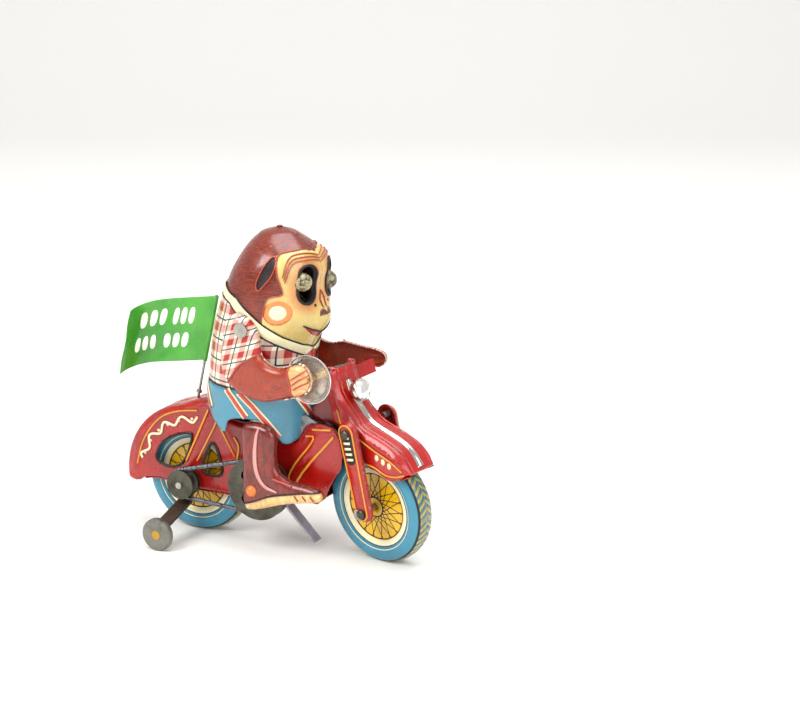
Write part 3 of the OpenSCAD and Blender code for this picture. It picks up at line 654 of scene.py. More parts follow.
BODY = np.vstack([[(-57.8, 16.1), (-54.6, 18.6), (-44.9, 19.4), (-40, 17.2), (-12.6, 17.2), (-5, 16.3), (12.4, 18.3),
                   (21.8, 20), (25.2, 28.7), (30.4, 36), (27.6, 48.4), (21, 50), (17, 49), (14.4, 47.8),
                   (12.8, 44.6), (10.8, 41.9), (8, 41.6), (3.5, 45.4), (-18, 45.4), (-21.5, 50.5), (-24.5, 52.8), (-30.5, 52)], arc(REAR_AXLE, 28.1, 100, 188, 15)])
WINDOW_REAR = [(-49, 26.3), (-42.5, 24.1), (-35.9, 27.1), (-32.1, 38.5), (-34.2, 38.9), (-39.9, 37.4), (-45.2, 34.3),
               (-48, 30.4)]
WINDOW_MID = [(-29.4, 24.4), (-20.1, 23.6), (-20.4, 29.8), (-23.5, 37.8), (-26.2, 33.5), (-28.1, 28.6)]
FENDER_RIDGE = [(-58.5, 22), (-56.5, 31), (-52.2, 38.6), (-46.5, 44.4), (-38, 48.2), (-30, 49.7), (-24.5, 50.5)]


def body_relief(flat, d):
    """A raised ridge round the rear fender and two raised frame tubes."""
    ridge = 0.75 * gauss(distance(flat, FENDER_RIDGE, False), 0, 1.1)
    tubes = (0.9 * gauss(distance(flat, [(-23.6, 46.8), (-33.5, 27)], False), 0, 1.9)
             + 0.8 * gauss(distance(flat, [(-20, 44.5), (-13, 33.5), (-13, 24)], False), 0, 1.8)
             + 0.7 * gauss(distance(flat, [(22.6, 46.8), (9, 29)], False), 0, 2.2))
    front = np.clip((flat[:, 0] - 16) / 3, 0, 1)
    return np.minimum(ridge + tubes, 1.0) * np.clip(d / 1.5, 0, 1) - 0.5 + front * (0.9 * shoulder_drop(d, 1.9) + 0.4)


def body_seam(flat):
    """The two halves meet, except where the wheels, the works and the rider go in."""
    x, z = flat[:, 0], flat[:, 1]
    opened = ((x > -55) & (x < -12.3) & (z < 21)) | ((x > -3.2) & (x < 9.2) & (z < 22)) \
        | ((z > 40) & (x > -20.5) & (x < 30))
    front = (x > 19.4) & (z < 41)
    return np.where(front, 8.0, np.where(opened, 6.9, 0.02))


for side, word in ((RIGHT, "right"), (LEFT, "left")):
    shell = Piece(f"body_shell_{word}", "chassis", "red_tin", f"frame_shell_{word}")
    skin = pressed(shell, rounded(BODY, 1), 8.5, body_seam, side, RED, 1.9, [rounded(WINDOW_REAR, 2),
                   rounded(WINDOW_MID, 2)], relief=body_relief, step=0.9, lip=1.0)
    for line, width in (([(-25.2, 49), (-35.2, 28)], 0.75), ([(-21.8, 45), (-30.6, 28.8)], 0.6),
                        ([(-20.6, 44.4), (-14.2, 32.6)], 0.6), ([(-14.6, 40), (-12.3, 36.5), (-13.4, 30.3), (-12.5, 21)], 0.7),
                        ([(17.8, 47.6), (25.4, 48.3)], 0.7), ([(14.9, 44.6), (20.3, 45.4), (8.4, 31.2), (7.4, 24)], 0.6),
                        ([(26.4, 46), (10.3, 27.5), (10, 21)], 0.8), ([(-8.2, 50), (-8.5, 44), (4, 42.5), (9, 47)], 0.6)):
        shell.ribbon(skin, rounded(line, 2, False), width, LINE)
    shell.ribbon(skin, rounded([(-56.9, 24), (-54.6, 32.8), (-49.7, 40.2), (-44.4, 44.9), (-37.4, 47.3), (-30, 48.2)], 2,
                               False), 0.55, LINE)
    shell.ribbon(skin, rounded(WINDOW_REAR, 2), 0.7, INK, closed=True)
    shell.ribbon(skin, rounded(WINDOW_MID, 2), 0.9, INK, closed=True)
    band = rounded([(-54.4, 26.5), (-52, 32.6), (-47.6, 38), (-42.6, 41.4), (-37, 43.6), (-30, 44.8)], 3, False)
    band = resample(band, 0.5, False)
    walked = np.linspace(0, 1, len(band))
    lean = np.gradient(band, axis=0)
    lean /= np.linalg.norm(lean, axis=1, keepdims=True)
    wave = band + np.c_[-lean[:, 1], lean[:, 0]] * (1.25 * np.sin(walked * 26))[:, None]
    shell.ribbon(skin, wave, 0.85, CREAM, 0.05)
    for k in range(6):
        at = band[int((k + 0.6) * (len(band) - 1) / 6.2)]
        shell.patch(skin, circle(at, 0.62, 14), CREAM, 0.09)
    # cheeks that carry the headstock, sunk in and given the darker red tin as painted shade
    pressed(shell, [(15, 50), (27.4, 48.6), (25.2, 63.2), (25, 65.8), (22.6, 65.8), (19.8, 57.9), (15, 54)], 4.2, 3.5,
            side, RED_PAINTED_SHADE, 0.5, step=1.6)
    shell.done(thickness=0.45)

# ---------------------------------------------------------------- rider's skin

SECTIONS = arr([(38, -28, 12.8, 17.5, 2), (41, -28, 12.9, 17.6, 2), (50, -28.1, 13.6, 18, 2), (60, -27.4, 13.8, 18, 2),
                (70, -26, 13.4, 17.9, 2), (77, -25.1, 14.2, 17.7, 2), (80, -24.6, 15.3, 17.7, 2),
                (84, -23.5, 16.6, 17.8, 2.2), (88, -22.1, 17.3, 17.8, 2.4), (92, -20.7, 17.4, 17.8, 2.5),
                (96, -19.1, 17.2, 17.6, 2.5), (100, -17.4, 17.3, 17.2, 2.5), (104, -15.4, 18.2, 16.6, 2.4),
                (108, -12.9, 17.1, 15, 2.3), (112, -10.1, 13.4, 11.8, 2.1), (115, -7.1, 9.3, 8.2, 2),
                (117, -3.9, 5.7, 4.8, 2), (118, 0.2, 2, 1.2, 2)])
PER_DEGREE = 0.3
BACK, FRONT, HALF, POWER = (hermite(SECTIONS, k) for k in (1, 2, 3, 4))
HEIGHTS = np.linspace(38, 118, 801)
LENGTHS = 38 + np.concatenate([[0], np.cumsum(np.hypot(np.diff(HEIGHTS), np.diff(HALF(HEIGHTS))))])


def skin_flat(points):
    """From degrees round the rider and height to flat millimetres."""
    points = arr(points)
    return np.stack([points[:, 0] * PER_DEGREE, np.interp(points[:, 1], HEIGHTS, LENGTHS)], 1)


def skin_round(points):
    """The plain surface at degrees and heights."""
    turn, z = np.radians(points[:, 0]), points[:, 1]
    back, front, half = BACK(z), FRONT(z), HALF(z)
    power = np.where(np.cos(turn) > 0, POWER(z), 2.0)
    reach = (np.abs(np.cos(turn)) ** power + np.abs(np.sin(turn)) ** power) ** (-1 / power)
    return np.stack([(front + back) / 2 + (front - back) / 2 * reach * np.cos(turn), half * reach * np.sin(turn), z], 1)


def between(points, low, high):
    """1 between two lines of (degrees, height), soft at their edges."""
    low, high = arr(low), arr(high)
    lower = np.interp(points[:, 0], low[:, 0], low[:, 1])
    upper = np.interp(points[:, 0], high[:, 0], high[:, 1])
    return np.clip((points[:, 1] - lower) / 0.5, 0, 1) * np.clip((upper - points[:, 1]) / 0.5, 0, 1)


COLLAR_TOP = [(-181, 98.6), (-147.5, 98.2), (-108.5, 94.8), (-94.5, 91.5), (-83.5, 89), (-73, 86.5), (-61.5, 84.2),
              (-49, 81.8), (-36, 80), (-21, 78), (1, 75.5)]
COLLAR_LOW = [(-181, 94.8), (-148, 94.5), (-118.5, 92.5), (-105, 89.5), (-74, 82.5), (-65, 80.8), (-55, 79.2),
              (-36, 76.5), (-14.5, 73.5), (1, 75.2)]
FACE_EDGE = [(1, 110.5), (-28.5, 111.8), (-55, 111.5), (-69, 110.5), (-68, 105), (-56.5, 100), (-53.5, 97.2),
             (-65.5, 96.8), (-72, 95.5), (-74, 89), (-73, 86.5), (-61.5, 84.2), (-49, 81.8), (-36, 80), (-21, 78),
             (1, 75.5)]
EAR = [(-69, 110.5), (-70, 105.5), (-75, 101.2), (-81.5, 98.2), (-85.5, 98.8), (-89, 102.2), (-87, 106.5),
       (-78.5, 109.5)]
WAIST = 61.7


TROUSER_RIM = arr([(-180, 56), (-160, 54.8), (-141.5, 53), (-126, 48.5), (-114, 45.6), (-106, 44.4), (-104.5, 47.5), (-101, 50),
           (-87, 51.2), (-71.5, 51), (-62, 50.3), (-54, 47), (-47, 43.4), (-40, 41.2), (-28, 42), (-15, 44.6), (0, 47.5)])


def slot_outline(y=7.7, radius=3.8, low=97.0, high=103.2):
    """The eye opening as degrees and heights."""
    points = []
    table = np.linspace(-70, 0, 200)
    for across, z in np.vstack([arc((y, high), radius, 0, 180, 14), arc((y, low), radius, 180, 360, 14)]):
        widths = -skin_round(np.c_[table, np.full(200, z)])[:, 1]
        points.append((np.interp(across, widths[::-1], table[::-1]), z))
    return arr(points)


def rider_place(side):
    def place(flat):
        turn = flat[:, 0] / PER_DEGREE
        z = np.interp(flat[:, 1], LENGTHS, HEIGHTS)
        at = np.c_[turn, z]
        base = skin_round(at)
        middle = np.stack([(FRONT(z) + BACK(z)) / 2, np.zeros(len(z)), z - 1.0], 1)
        middle[:, 2] = np.where(z > 108, z - (z - 108) * 1.2, z)
        out = base - middle
        out /= np.maximum(np.linalg.norm(out, axis=1, keepdims=True), 1e-6)
        rise = (2.6 * np.exp(-(turn / 26) ** 2 - ((z - 86) / 5.2) ** 2)
                + 0.9 * np.exp(-(turn / 9) ** 2 - ((z - 88.3) / 2.3) ** 2)
                + 0.7 * np.exp(-((np.abs(turn) - 30) / 18) ** 2 - ((z - 109.5) / 2) ** 2)
                + 0.55 * between(at, COLLAR_LOW, COLLAR_TOP)
                - 0.5 * gauss(z, WAIST, 0.7)
                - 0.9 * np.exp(-((turn + 79) / 8) ** 2 - ((z - 104) / 4) ** 2)
                - 0.35 * gauss(turn, 0, 0.8) - 0.35 * gauss(turn, -180, 0.8))
        base = base + out * rise[:, None]
        base[:, 1] = np.where(np.abs(turn) < 0.02, 0, base[:, 1])
        return base * [1, -side, 1]
    return place


turns = np.linspace(-180, 0, 73)
skin_edge = skin_flat(np.vstack([rounded(TROUSER_RIM, 2, False), [(0, z) for z in (80, 100, 118)],
                                 np.c_[turns[::-1][4:-4], np.full(65, 118)], [(-180, z) for z in (118, 100, 80)]]))
areas = [([(1, 30), (1, WAIST), (-181, WAIST), (-181, 30)], BLUE),
         ([(-181, WAIST), (1, WAIST)] + COLLAR_LOW[::-1], SHIRT),
         (COLLAR_LOW + COLLAR_TOP[::-1], CREAM), (FACE_EDGE, FACE), (rounded(EAR, 2), EAR_INK_AND_SLOT_SHADE)]
areas = [(skin_flat(resample(a, 3)), m) for a, m in areas]
slot = skin_flat(slot_outline())
lines = [(np.clip(a, [-54, 0], [0, 200]), True) for a, _ in areas]
flat, faces, loops, centre = fill(skin_edge, [slot], [(skin_flat([(-180, WAIST), (0, WAIST)]), False),
                                  (skin_flat(arr(COLLAR_TOP)[1:-1]), False), (skin_flat(arr(COLLAR_LOW)[1:-1]), False),
                                  (skin_flat(arr(FACE_EDGE)[1:-1]), False), (skin_flat(rounded(EAR, 2)), True)], 0.85)
mats = [HAIR] * len(faces)
for area, mat in areas:
    for i in np.nonzero(inside(centre, anticlockwise(area)))[0]:
        mats[i] = mat
near_slot = distance(flat, slot)

for side, word in ((RIGHT, "right"), (LEFT, "left")):
    rider = Piece(f"rider_skin_{word}", "chassis", "fur_tin", f"monkey_shell_{word}")
    place = rider_place(-side)
    verts = place(flat) * [1, -1, 1]
    tilted = faces if side == RIGHT else faces[:, ::-1]
    a, b, c = (verts[tilted[:, k]] for k in range(3))
    middle = (a + b + c) / 3 - [-5, 0, 80]
    if (np.cross(b - a, c - a) * middle * [1, 1, 0]).sum() < 0:
        tilted = tilted[:, ::-1]
    edge_rub = np.exp(-distance(flat, arr(skin_edge)) / 0.4)
    rider.add(verts, tilted.tolist(), mats, np.c_[flat[:, 0] * 1.0, flat[:, 1], near_slot], edge_rub)
    hole = verts[loops[1]]
    # the eye slot's inside wall in near-black, painted shade inside the head
    rider.grid([hole, hole - [2.4, 0, 0]], EAR_INK_AND_SLOT_SHADE, flip=(side == RIGHT))

    def read(points, place=place):
        at = place(arr(points)) * [1, -1, 1]
        du = place(arr(points) + [0.03, 0]) * [1, -1, 1] - at
        dv = place(arr(points) + [0, 0.03]) * [1, -1, 1] - at
        normal = np.cross(du, dv)
        normal /= np.maximum(np.linalg.norm(normal, axis=1, keepdims=True), 1e-9)
        away = (normal * (at - [-5, 0, 85])).sum(1, keepdims=True)
        return at, normal * np.sign(away)

    rider.ribbon(read, slot, 0.8, INK, 0.05, True)
    for line in (COLLAR_TOP[1:-1] + [(-0.6, 75.6)], COLLAR_LOW[1:-1]):
        rider.ribbon(read, skin_flat(line), 0.45, INK)
    rider.ribbon(read, skin_flat([(-179, WAIST), (-90, WAIST), (-1, WAIST)]), 0.6, INK)
    rider.patch(read, skin_flat([(-0.5, 75), (-13.5, 73.6), (-8, 66.5), (-0.5, 62.6)]), STRIPE, 0.04)
    rider.ribbon(read, skin_flat([(-13.5, 73.4), (-8, 66.5), (-0.8, 62.4)]), 0.5, INK, 0.06)
    for line in ([(-104, 61.2), (-95.5, 58.2), (-86, 54.2), (-80.5, 51.8)],
                 [(-89, 60.8), (-74.5, 56.2), (-60.5, 50.5), (-47, 44.5)],
                 [(-150, 60.8), (-138, 57), (-128, 52.6)], [(-30, 60.8), (-20, 56.4), (-8, 51.5)]):
        rider.ribbon(read, skin_flat(line), 2.6, CREAM, 0.04)
        rider.ribbon(read, skin_flat(line), 1.5, STRIPE, 0.07)
    cheek = skin_flat([(-58.5, 90.8)])[0]
    rider.patch(read, circle(cheek, 4.5), BLUSH, 0.04)
    rider.patch(read, circle(cheek, 2.7), CREAM, 0.07)
    rider.patch(read, skin_flat(np.c_[-5.5 * np.cos(np.radians(turns[:37] * 2)) - 6, 88.3 + 2.1 * np.sin(
        np.radians(turns[:37] * 2))][:-1]), NOSE, 0.14, 0.6)
    mouth = [(-0.3, 79.6), (-17, 81.8), (-25, 83.8), (-30.5, 85.5), (-18.5, 83.8), (-2.5, 81.9), (-0.3, 81.8)]
    rider.patch(read, skin_flat(mouth), MOUTH, 0.05, 0.6)
    rider.ribbon(read, skin_flat([(-0.5, 81.7), (-18.5, 83.8), (-30.5, 85.6)]), 0.4, INK, 0.07)
    rider.ribbon(read, skin_flat([(-0.5, 96.8), (-5, 93.8), (-3, 90.6)]), 0.45, BROW, 0.05, taper=0.5)
    rider.patch(read, circle(skin_flat([(-14.5, 92.2)])[0], 0.55), INK, 0.05, 0.5)
    for k in range(3):
        drop, pull = 0.95 * k, 2.2 * k
        line = arr([(-59 + pull, 103.5 - drop), (-58 + pull, 107.5 - drop), (-50 + pull * 0.5, 110.2 - drop),
                    (-34.5, 110.7 - drop), (-16, 110.4 - drop), (-1, 109.2 - drop)])
        rider.ribbon(read, skin_flat(rounded(line, 3, False)), 0.34, BROW, 0.05, taper=0.3)
    rider.ribbon(read, skin_flat(rounded(arr(FACE_EDGE)[1:10], 2, False)), 0.4, BROW, 0.05)
    rider.ribbon(read, skin_flat(rounded(EAR, 2)), 0.4, BROW, 0.06, True)
    top = verts[[i for i in loops[0] if flat[i, 1] > LENGTHS[-1] - 0.01]]
    crown = [top, np.tile([1.1, 0, 118.25], (len(top), 1))]
    rider.grid(crown, HAIR, wrap=False, flip=(side == LEFT))
    rider.done(44, thickness=0.4)

# ---------------------------------------------------------------- legs and arms

LEG = [(-5, 17.6), (-2.8, 16.8), (3.6, 18.6), (12.6, 21.8), (25.2, 23.9), (26.6, 25.2), (26.4, 27.4), (23.6, 29.4),
       (14, 29.9), (9.6, 31.8), (7.8, 35.4), (7.6, 41), (8.2, 46), (6.2, 48.8), (3.6, 49.8), (-0.5, 50.2), (-5.2, 49.6),
       (-5.9, 44.7), (-5.4, 34), (-6, 23)]
SOLE_AREA = [(-7, 19.3), (-4.9, 19.6), (0.7, 21.5), (5.5, 24), (13.3, 25.9), (20.6, 27.4), (28, 28), (28, 22), (12, 19),
             (-3, 15), (-7, 16)]
ARM = [(-10.9, 82.5), (-10.6, 86.6), (-7.6, 89.9), (-3.6, 90.3), (0.3, 88), (2.8, 83.5), (3.6, 79), (3.6, 76.2),
       (6.2, 73.2), (11, 72), (15.5, 73.4), (18.6, 75), (21.8, 74.2), (23.9, 71), (23.7, 66.8), (20.8, 63.6), (16, 62.4),
       (10, 60.2), (5, 58.9), (-1, 59.7), (-6.5, 62), (-10.4, 65.5), (-12.2, 70), (-12, 76)]
BAR_ARM = ARM[:11] + [(18, 73.2), (24, 72.4), (30.6, 71.9), (33.6, 70.2), (33.6, 66.8), (30.6, 65), (24, 64.4)] + ARM[15:]
FOREARM = [(-7.5, 58), (-8.4, 65.5), (-3.6, 72.5), (0.6, 74.8), (4.4, 77.6), (8, 77), (15.8, 77), (15.4, 71.7),
           (16.6, 68), (17, 60), (6, 55)]
HAND_AREA = [(15.8, 78), (15.4, 71.7), (16.6, 68), (17, 58), (40, 58), (40, 78)]


def limb_relief(flat, d):
    return 0.5 * np.clip(d / 3.2, 0, 1) - 0.5


def along_arm(flat, d):
    """The chart runs down the upper arm and then along the forearm."""
    bend = np.clip((flat[:, 0] + 2) / 8, 0, 1) * np.clip((74 - flat[:, 1]) / 6, 0, 1)
    return np.c_[flat[:, 0] * bend - flat[:, 1] * (1 - bend), flat[:, 1] * bend + flat[:, 0] * (1 - bend), d]


def leg_chart(flat, d):
    return np.c_[flat[:, 1], flat[:, 0], d]


# a pinkish band down each leg: painted highlight where the rounded leg catches the light
LEG_PAINTED_HIGHLIGHT = [([(2.1, 48.6), (1.2, 45.7), (0.4, 38.4), (1, 32), (3.9, 27.4), (9.4, 26.1)], 1.5)]
leg_mat = tin("ink_leg_plain", fur("5c140a", "801f10", "9e3820", 0.25, 0.6), 0.24, 0.5, 0.7, 0.25)
leg_painted_highlight = tin("painted_highlight_leg", "c98f86", 0.3, 0.2, 0.4, 0.1)
for side, word in ((RIGHT, "right"), (LEFT, "left")):
    leg = Piece(f"leg_tin_{word}", "chassis", "trouser_tin", f"leg_{word}")
    read = pressed(leg, rounded(LEG, 2), 19.6, 16.1, side, leg_mat, 2.0, areas=[(SOLE_AREA, SOLE)],
                   relief=limb_relief, step=0.75, chart=leg_chart)
    # the pinkish band is laid on the leg as painted highlight
    for line, width in LEG_PAINTED_HIGHLIGHT:
        leg.ribbon(read, rounded(line, 2, False), width, leg_painted_highlight, 0.03, taper=0.4)
    leg.ribbon(read, rounded([(-4.9, 19.6), (0.7, 21.5), (5.5, 24), (13.3, 25.9), (20.6, 27.4), (25.6, 27.9)], 2, False),
               0.4, INK)
    leg.ribbon(read, [(7.4, 31), (10, 30.1), (15, 28.9)], 0.6, STRIPE)
    for line in ([(19.5, 26.3), (20.8, 24.6)], [(22.7, 26.6), (24, 24.9)], [(16.4, 25.9), (17.6, 24)]):
        leg.ribbon(read, line, 0.35, MOUTH)
    leg.done(thickness=0.4)

rivets = Piece("leg_rivet_heads", "chassis", "rivet_orange", "leg_rivets")
for side in (RIGHT, LEFT):
    rivets.lathe([(0.001, 21.25), (0.9, 21.1), (1.6, 20.65), (2.1, 20), (2.2, 19.2), (0.9, 19.1), (0.9, 8.2)],
                 (-1.2, 0, 25), ORANGE, sign=side, count=32)
rivets.done()

for side, word, outline in ((RIGHT, "right", ARM), (LEFT, "left", BAR_ARM)):
    arm = Piece(f"arm_tin_{word}", f"arm_{word[0]}", "fur_tin", f"arm_{word}")
    seam = (lambda at: np.where(at[:, 0] > 12.5, 20.45, 18.7)) if side == RIGHT else 18.7
    read = pressed(arm, rounded(outline, 2), 22.1, seam, side, SLEEVE, 2.2,
                   areas=[(FOREARM, ARM_FUR), (HAND_AREA, HAND if side == RIGHT else ARM_FUR)], relief=limb_relief, step=0.75, chart=along_arm)
    arm.ribbon(read, rounded([(-9.4, 64.4), (-8.4, 65.5), (-3.6, 72.5), (0.6, 74.8), (3.2, 76.6)], 2, False), 0.5, BROW)
    arm.ribbon(read, rounded([(15.7, 73.2), (15.4, 71.7), (16.6, 68), (17, 62.8)], 2, False), 0.5, BROW)
    if side == RIGHT:
        for line in ([(17, 69.3), (19.8, 71.2), (22.6, 73.2)], [(17.4, 67.4), (20, 69.5), (23.2, 71.4)],
                     [(17.8, 65.8), (20.4, 67.6), (23.4, 69)]):
            arm.ribbon(read, rounded(line, 1, False), 0.45, BROW, taper=0.4)
    arm.done(thickness=0.4)

# ---------------------------------------------------------------- bell

bell = Piece("bell_dish", "arm_r", "bright_chrome", "bell")
bell.lathe([(0.9, 16.7), (2.2, 16.65), (4.4, 16.9), (6.4, 17.5), (7.7, 18.5), (8.3, 19.7), (8.6, 20.15), (8.75, 20.1),
            (8.7, 19.8), (8.05, 18.3), (6.6, 17.1), (4.4, 16.45), (2.2, 16.2), (0.9, 16.25)][::-1],
           (22.9, 0, 69.7), BELL, sign=RIGHT, count=96)
bell.done(50)

# ---------------------------------------------------------------- wheels

WHEEL = [(1.3, 3.3), (3.2, 3.35), (5, 3.0), (5.6, 2.8), (9, 2.65), (12.2, 2.5), (12.9, 2.75), (13.6, 3.25), (14.3, 3.4),
         (14.9, 3.35), (15.4, 3.6), (16.6, 4.15), (17.6, 4.35), (18.6, 4.25), (19.3, 3.95), (19.9, 3.45), (20.4, 2.8),
         (20.75, 1.9), (20.95, 0.9), (21, 0.02)]
WHEEL_MATS = [DISC] * 6 + [RIM] * 3 + [TYRE] * 6 + [INK] + [TREAD] * 3
WHEEL_RUB = [0.5, 0, 0, 0, 0, 0, 0, 0.4, 0.5, 0, 0, 0.3, 0.5, 0.3, 0.2, 0.4, 0.4, 0.5, 0.5, 0.7]


def wheel(piece, axle, side):
    piece.lathe(WHEEL, (axle[0], 0, axle[1]), DISC, sign=side, count=96, mats=WHEEL_MATS, rub=WHEEL_RUB)
    radii, out = arr(WHEEL).T

    def place(flat):
        return np.stack([axle[0] + flat[:, 0], side * np.interp(np.hypot(*flat.T), radii, out), axle[1] + flat[:, 1]], 1)
    read = surface(place, 1 if side == RIGHT else -1)
    for k in range(18):
        for lean in (-1, 1):
            start, end = math.radians(20 * k), math.radians(20 * k + lean * 42)
            piece.ribbon(read, [(3.6 * math.cos(start), 3.6 * math.sin(start)), (12.5 * math.cos(end), 12.5 * math.sin(end))],
                         0.26, INK, 0.03)
    for radius, width, mat in ((3.6, 0.5, INK), (12.5, 0.35, INK), (15, 0.4, INK), (16.2, 0.25, RIM)):
        piece.ribbon(read, circle((0, 0), radius, 48), width, mat, 0.04, True)


for side, word in ((RIGHT, "right"), (LEFT, "left")):
    rear = Piece(f"rear_wheel_tin_{word}", "rear_wheel", "wheel_tin", f"rear_wheel_{word}")
    wheel(rear, REAR_AXLE, side)
    rear.done(thickness=0.35)
    front = Piece(f"front_wheel_tin_{word}", "front_wheel", "wheel_tin", f"front_wheel_{word}", turn=STEER)
    wheel(front, FRONT_AXLE, side)
    front.done(thickness=0.35)

# ---------------------------------------------------------------- front fender, column and fork

CROWN = [(20.4, 38.8), (19.3, 40), (17.2, 43), (14, 46), (9.2, 48), (3.5, 49.7), (-2.1, 51.3), (-5.6, 54.4), (-8.6, 57.8),
         (-11.6, 61), (-13.2, 65.5), (-14, 69.6)]
FAIRING = CROWN + [(-14.6, 70.5), (-18.4, 70.5), (-18.5, 63), (-16.8, 57.7), (-15.4, 51.6), (-9, 50), (-6.4, 48.5),
                   (-4.6, 46), (-2, 40.5), (0.7, 37.4), (4.5, 37), (8.3, 35.2), (11, 34.6), (14.3, 35.5), (18, 37.4)]


def ahead(points):
    return arr(points) + [41.5, 0]


def fairing_relief(flat, d):
    ridge = distance(flat, ahead([(-15.6, 69), (-13.8, 63.6), (-12, 58.5), (-10.4, 53.2), (-6, 50.2), (4.2, 46.6), (13, 44),
                                  (17.6, 40.8)]), False)
    open_edge = np.clip(distance(flat, ahead(CROWN), False) / 3 - 0.7, 0, 1)
    return (0.55 * gauss(ridge, 0, 1.0) * np.clip(d, 0, 1) - 0.55 - 0.8 * np.clip((flat[:, 1] - 51.5) / 4, 0, 1)
            + 0.85 * open_edge * shoulder_drop(d, 2.6))


def fairing_seam(flat):
    """Closed over the crown, open behind and below."""
    near = distance(flat, ahead(CROWN), False)
    return np.where(near < 0.9, 0.02, np.where(flat[:, 1] > 52, 6.2, 7.0))


for side, word in ((RIGHT, "right"), (LEFT, "left")):
    fairing = Piece(f"front_tin_{word}", "fork", "red_tin", f"fairing_{word}", turn=STEER)
    read = pressed(fairing, rounded(ahead(FAIRING), 1), 8.1, fairing_seam, side, RED_FENDER, 2.6,
                   relief=fairing_relief, step=0.8, rim_rows=5)
    fairing.ribbon(read, rounded(ahead([(-12.8, 56.4), (-9.6, 50.2), (-3.4, 48.4), (4.2, 44.9), (12.4, 42.2), (16.9, 39.6)]), 2,
                                 False), 0.55, LINE)
    fairing.ribbon(read, rounded(ahead([(-0.6, 39), (4.6, 38.6), (9, 36.6), (14, 37), (17.6, 38.6)]), 2, False), 0.5, LINE)
    for x, z in ((5.4, 42.2), (8.2, 41.3), (11, 40.4)):
        fairing.patch(read, rounded(ahead([(x - 1, z - 1), (x - 0.6, z + 1.4), (x + 1.1, z + 0.9), (x + 0.6, z - 1.3)]), 2),
                      CREAM)
    fairing.done(thickness=0.4)

    blade = Piece(f"fork_tin_{word}", "fork", "red_tin", f"fork_blade_{word}", turn=STEER)
    top, foot = ahead([(-4.6, 50.5)])[0], ahead([(1.2, 21.5)])[0]
    read = pressed(blade, capsule(top, 4.2, foot, 3.6), 12.1, 9.9, side, RED, 1.2, relief=limb_relief, step=0.7)
    blade.ribbon(read, capsule(top, 3.0, foot, 2.4), 0.5, LINE, closed=True)
    down = (foot - top) / np.linalg.norm(foot - top)
    across = arr([-down[1], down[0]])
    blade.patch(read, capsule(top + down * 1.2, 2.3, top + down * 9.5, 2.0), INK, 0.04)
    for k in range(5):
        mid = top + down * (1.4 + 2.0 * k)
        blade.ribbon(read, [mid - across * 1.4, mid + across * 1.4], 0.8, CREAM, 0.08)
    for at in (top + down * 0.2, foot):
        blade.lathe([(0.001, 13.3), (0.8, 13.2), (1.3, 12.8), (1.4, 12), (0.6, 11.9)], (at[0], 0, at[1]), DARK_STEEL,
                    sign=side, count=24)
    blade.done(thickness=0.4)

lamp = Piece("headlamp_shell", "fork", "bright_chrome", "headlamp",
             turn=STEER @ Matrix.Translation((33.3, 0, 62.4)) @ Matrix.Rotation(math.radians(70), 4, "Y"))
lamp.lathe([(0.001, -3.3), (0.8, -3.2), (2.2, -2.4), (3.3, -1.4), (3.9, -0.2), (4.1, 1.0), (4.15, 1.7), (3.9, 2.1),
            (3.5, 2.0), (3.4, 1.8)], (0, 0, 0), CHROME, axis="z", count=64)
lamp.lathe([(3.4, 1.8), (2.6, 2.5), (1.4, 2.9), (0.001, 3.05)], (0, 0, 0), BELL, axis="z", count=64)
lamp.done(50)

trim = Piece("fender_trim_strip", "fork", "bright_chrome", "fender_trim", turn=STEER)
spine = rounded(ahead(CROWN)[1:-1], 3, False)
ahead_of = np.gradient(spine, axis=0)
ahead_of /= np.linalg.norm(ahead_of, axis=1, keepdims=True)
out_of = np.c_[-ahead_of[:, 1], ahead_of[:, 0]]
out_of = out_of * np.sign((out_of * [0.3, 1]).sum(1, keepdims=True))
share = np.linspace(0, 1, len(spine))
wide = 1.25 + 0.5 * np.clip(1 - share / 0.2, 0, 1)
shape = arr([(-1, -0.35), (-0.85, 0.35), (-0.45, 0.85), (0, 1), (0.45, 0.85), (0.85, 0.35), (1, -0.35)])
rows = [[(p[0] + o[0] * b * 0.95, a * w, p[1] + o[1] * b * 0.95) for a, b in shape]
        for p, o, w in zip(spine, out_of, wide)]
trim.grid(rows, CHROME, flip=True, caps=True)
trim.done(50)

# ---------------------------------------------------------------- small works in view

belt = Piece("drive_belt_coil", "chassis", "belt_steel", "spring_belt")
small, large = arr(REAR_AXLE), arr((-1.5, 24.5))
line = capsule(small, 5.1, large, 10.4, 40)
line = resample(line, 0.06)
walked = np.linspace(0, 1, len(line), endpoint=False)
tangent = np.roll(line, -1, 0) - np.roll(line, 1, 0)
tangent /= np.linalg.norm(tangent, axis=1, keepdims=True)
length = np.linalg.norm(np.roll(line, -1, 0) - line, axis=1).sum()
coils = round(length / 0.62)
turn_angle = 2 * math.pi * coils * walked
coil = np.stack([line[:, 0] - tangent[:, 1] * 0.62 * np.cos(turn_angle), -13.5 + 0.62 * np.sin(turn_angle),
                 line[:, 1] + tangent[:, 0] * 0.62 * np.cos(turn_angle)], 1)
belt.tube(coil, 0.26, SPRING, sides=5, closed=True)
belt.done(70)

for side, word in ((RIGHT, "right"), (LEFT, "left")):
    roller = Piece(f"roller_shell_{word}", f"roller_{word[0]}", "roller_grey", f"roller_{word}")
    roller.lathe([(0.95, 27.1), (4.9, 27.1), (5.7, 27.35), (6, 27.8), (6, 29.5), (5.7, 30), (4.9, 30.25), (2.6, 30.25),
                  (2.2, 30.0), (0.95, 30.0)], (-35.6, 0, 6), ROLLER, sign=side, count=64,
                 rub=[0, 0, 0.5, 0.6, 0.6, 0.6, 0.3, 0, 0, 0])
    roller.done()

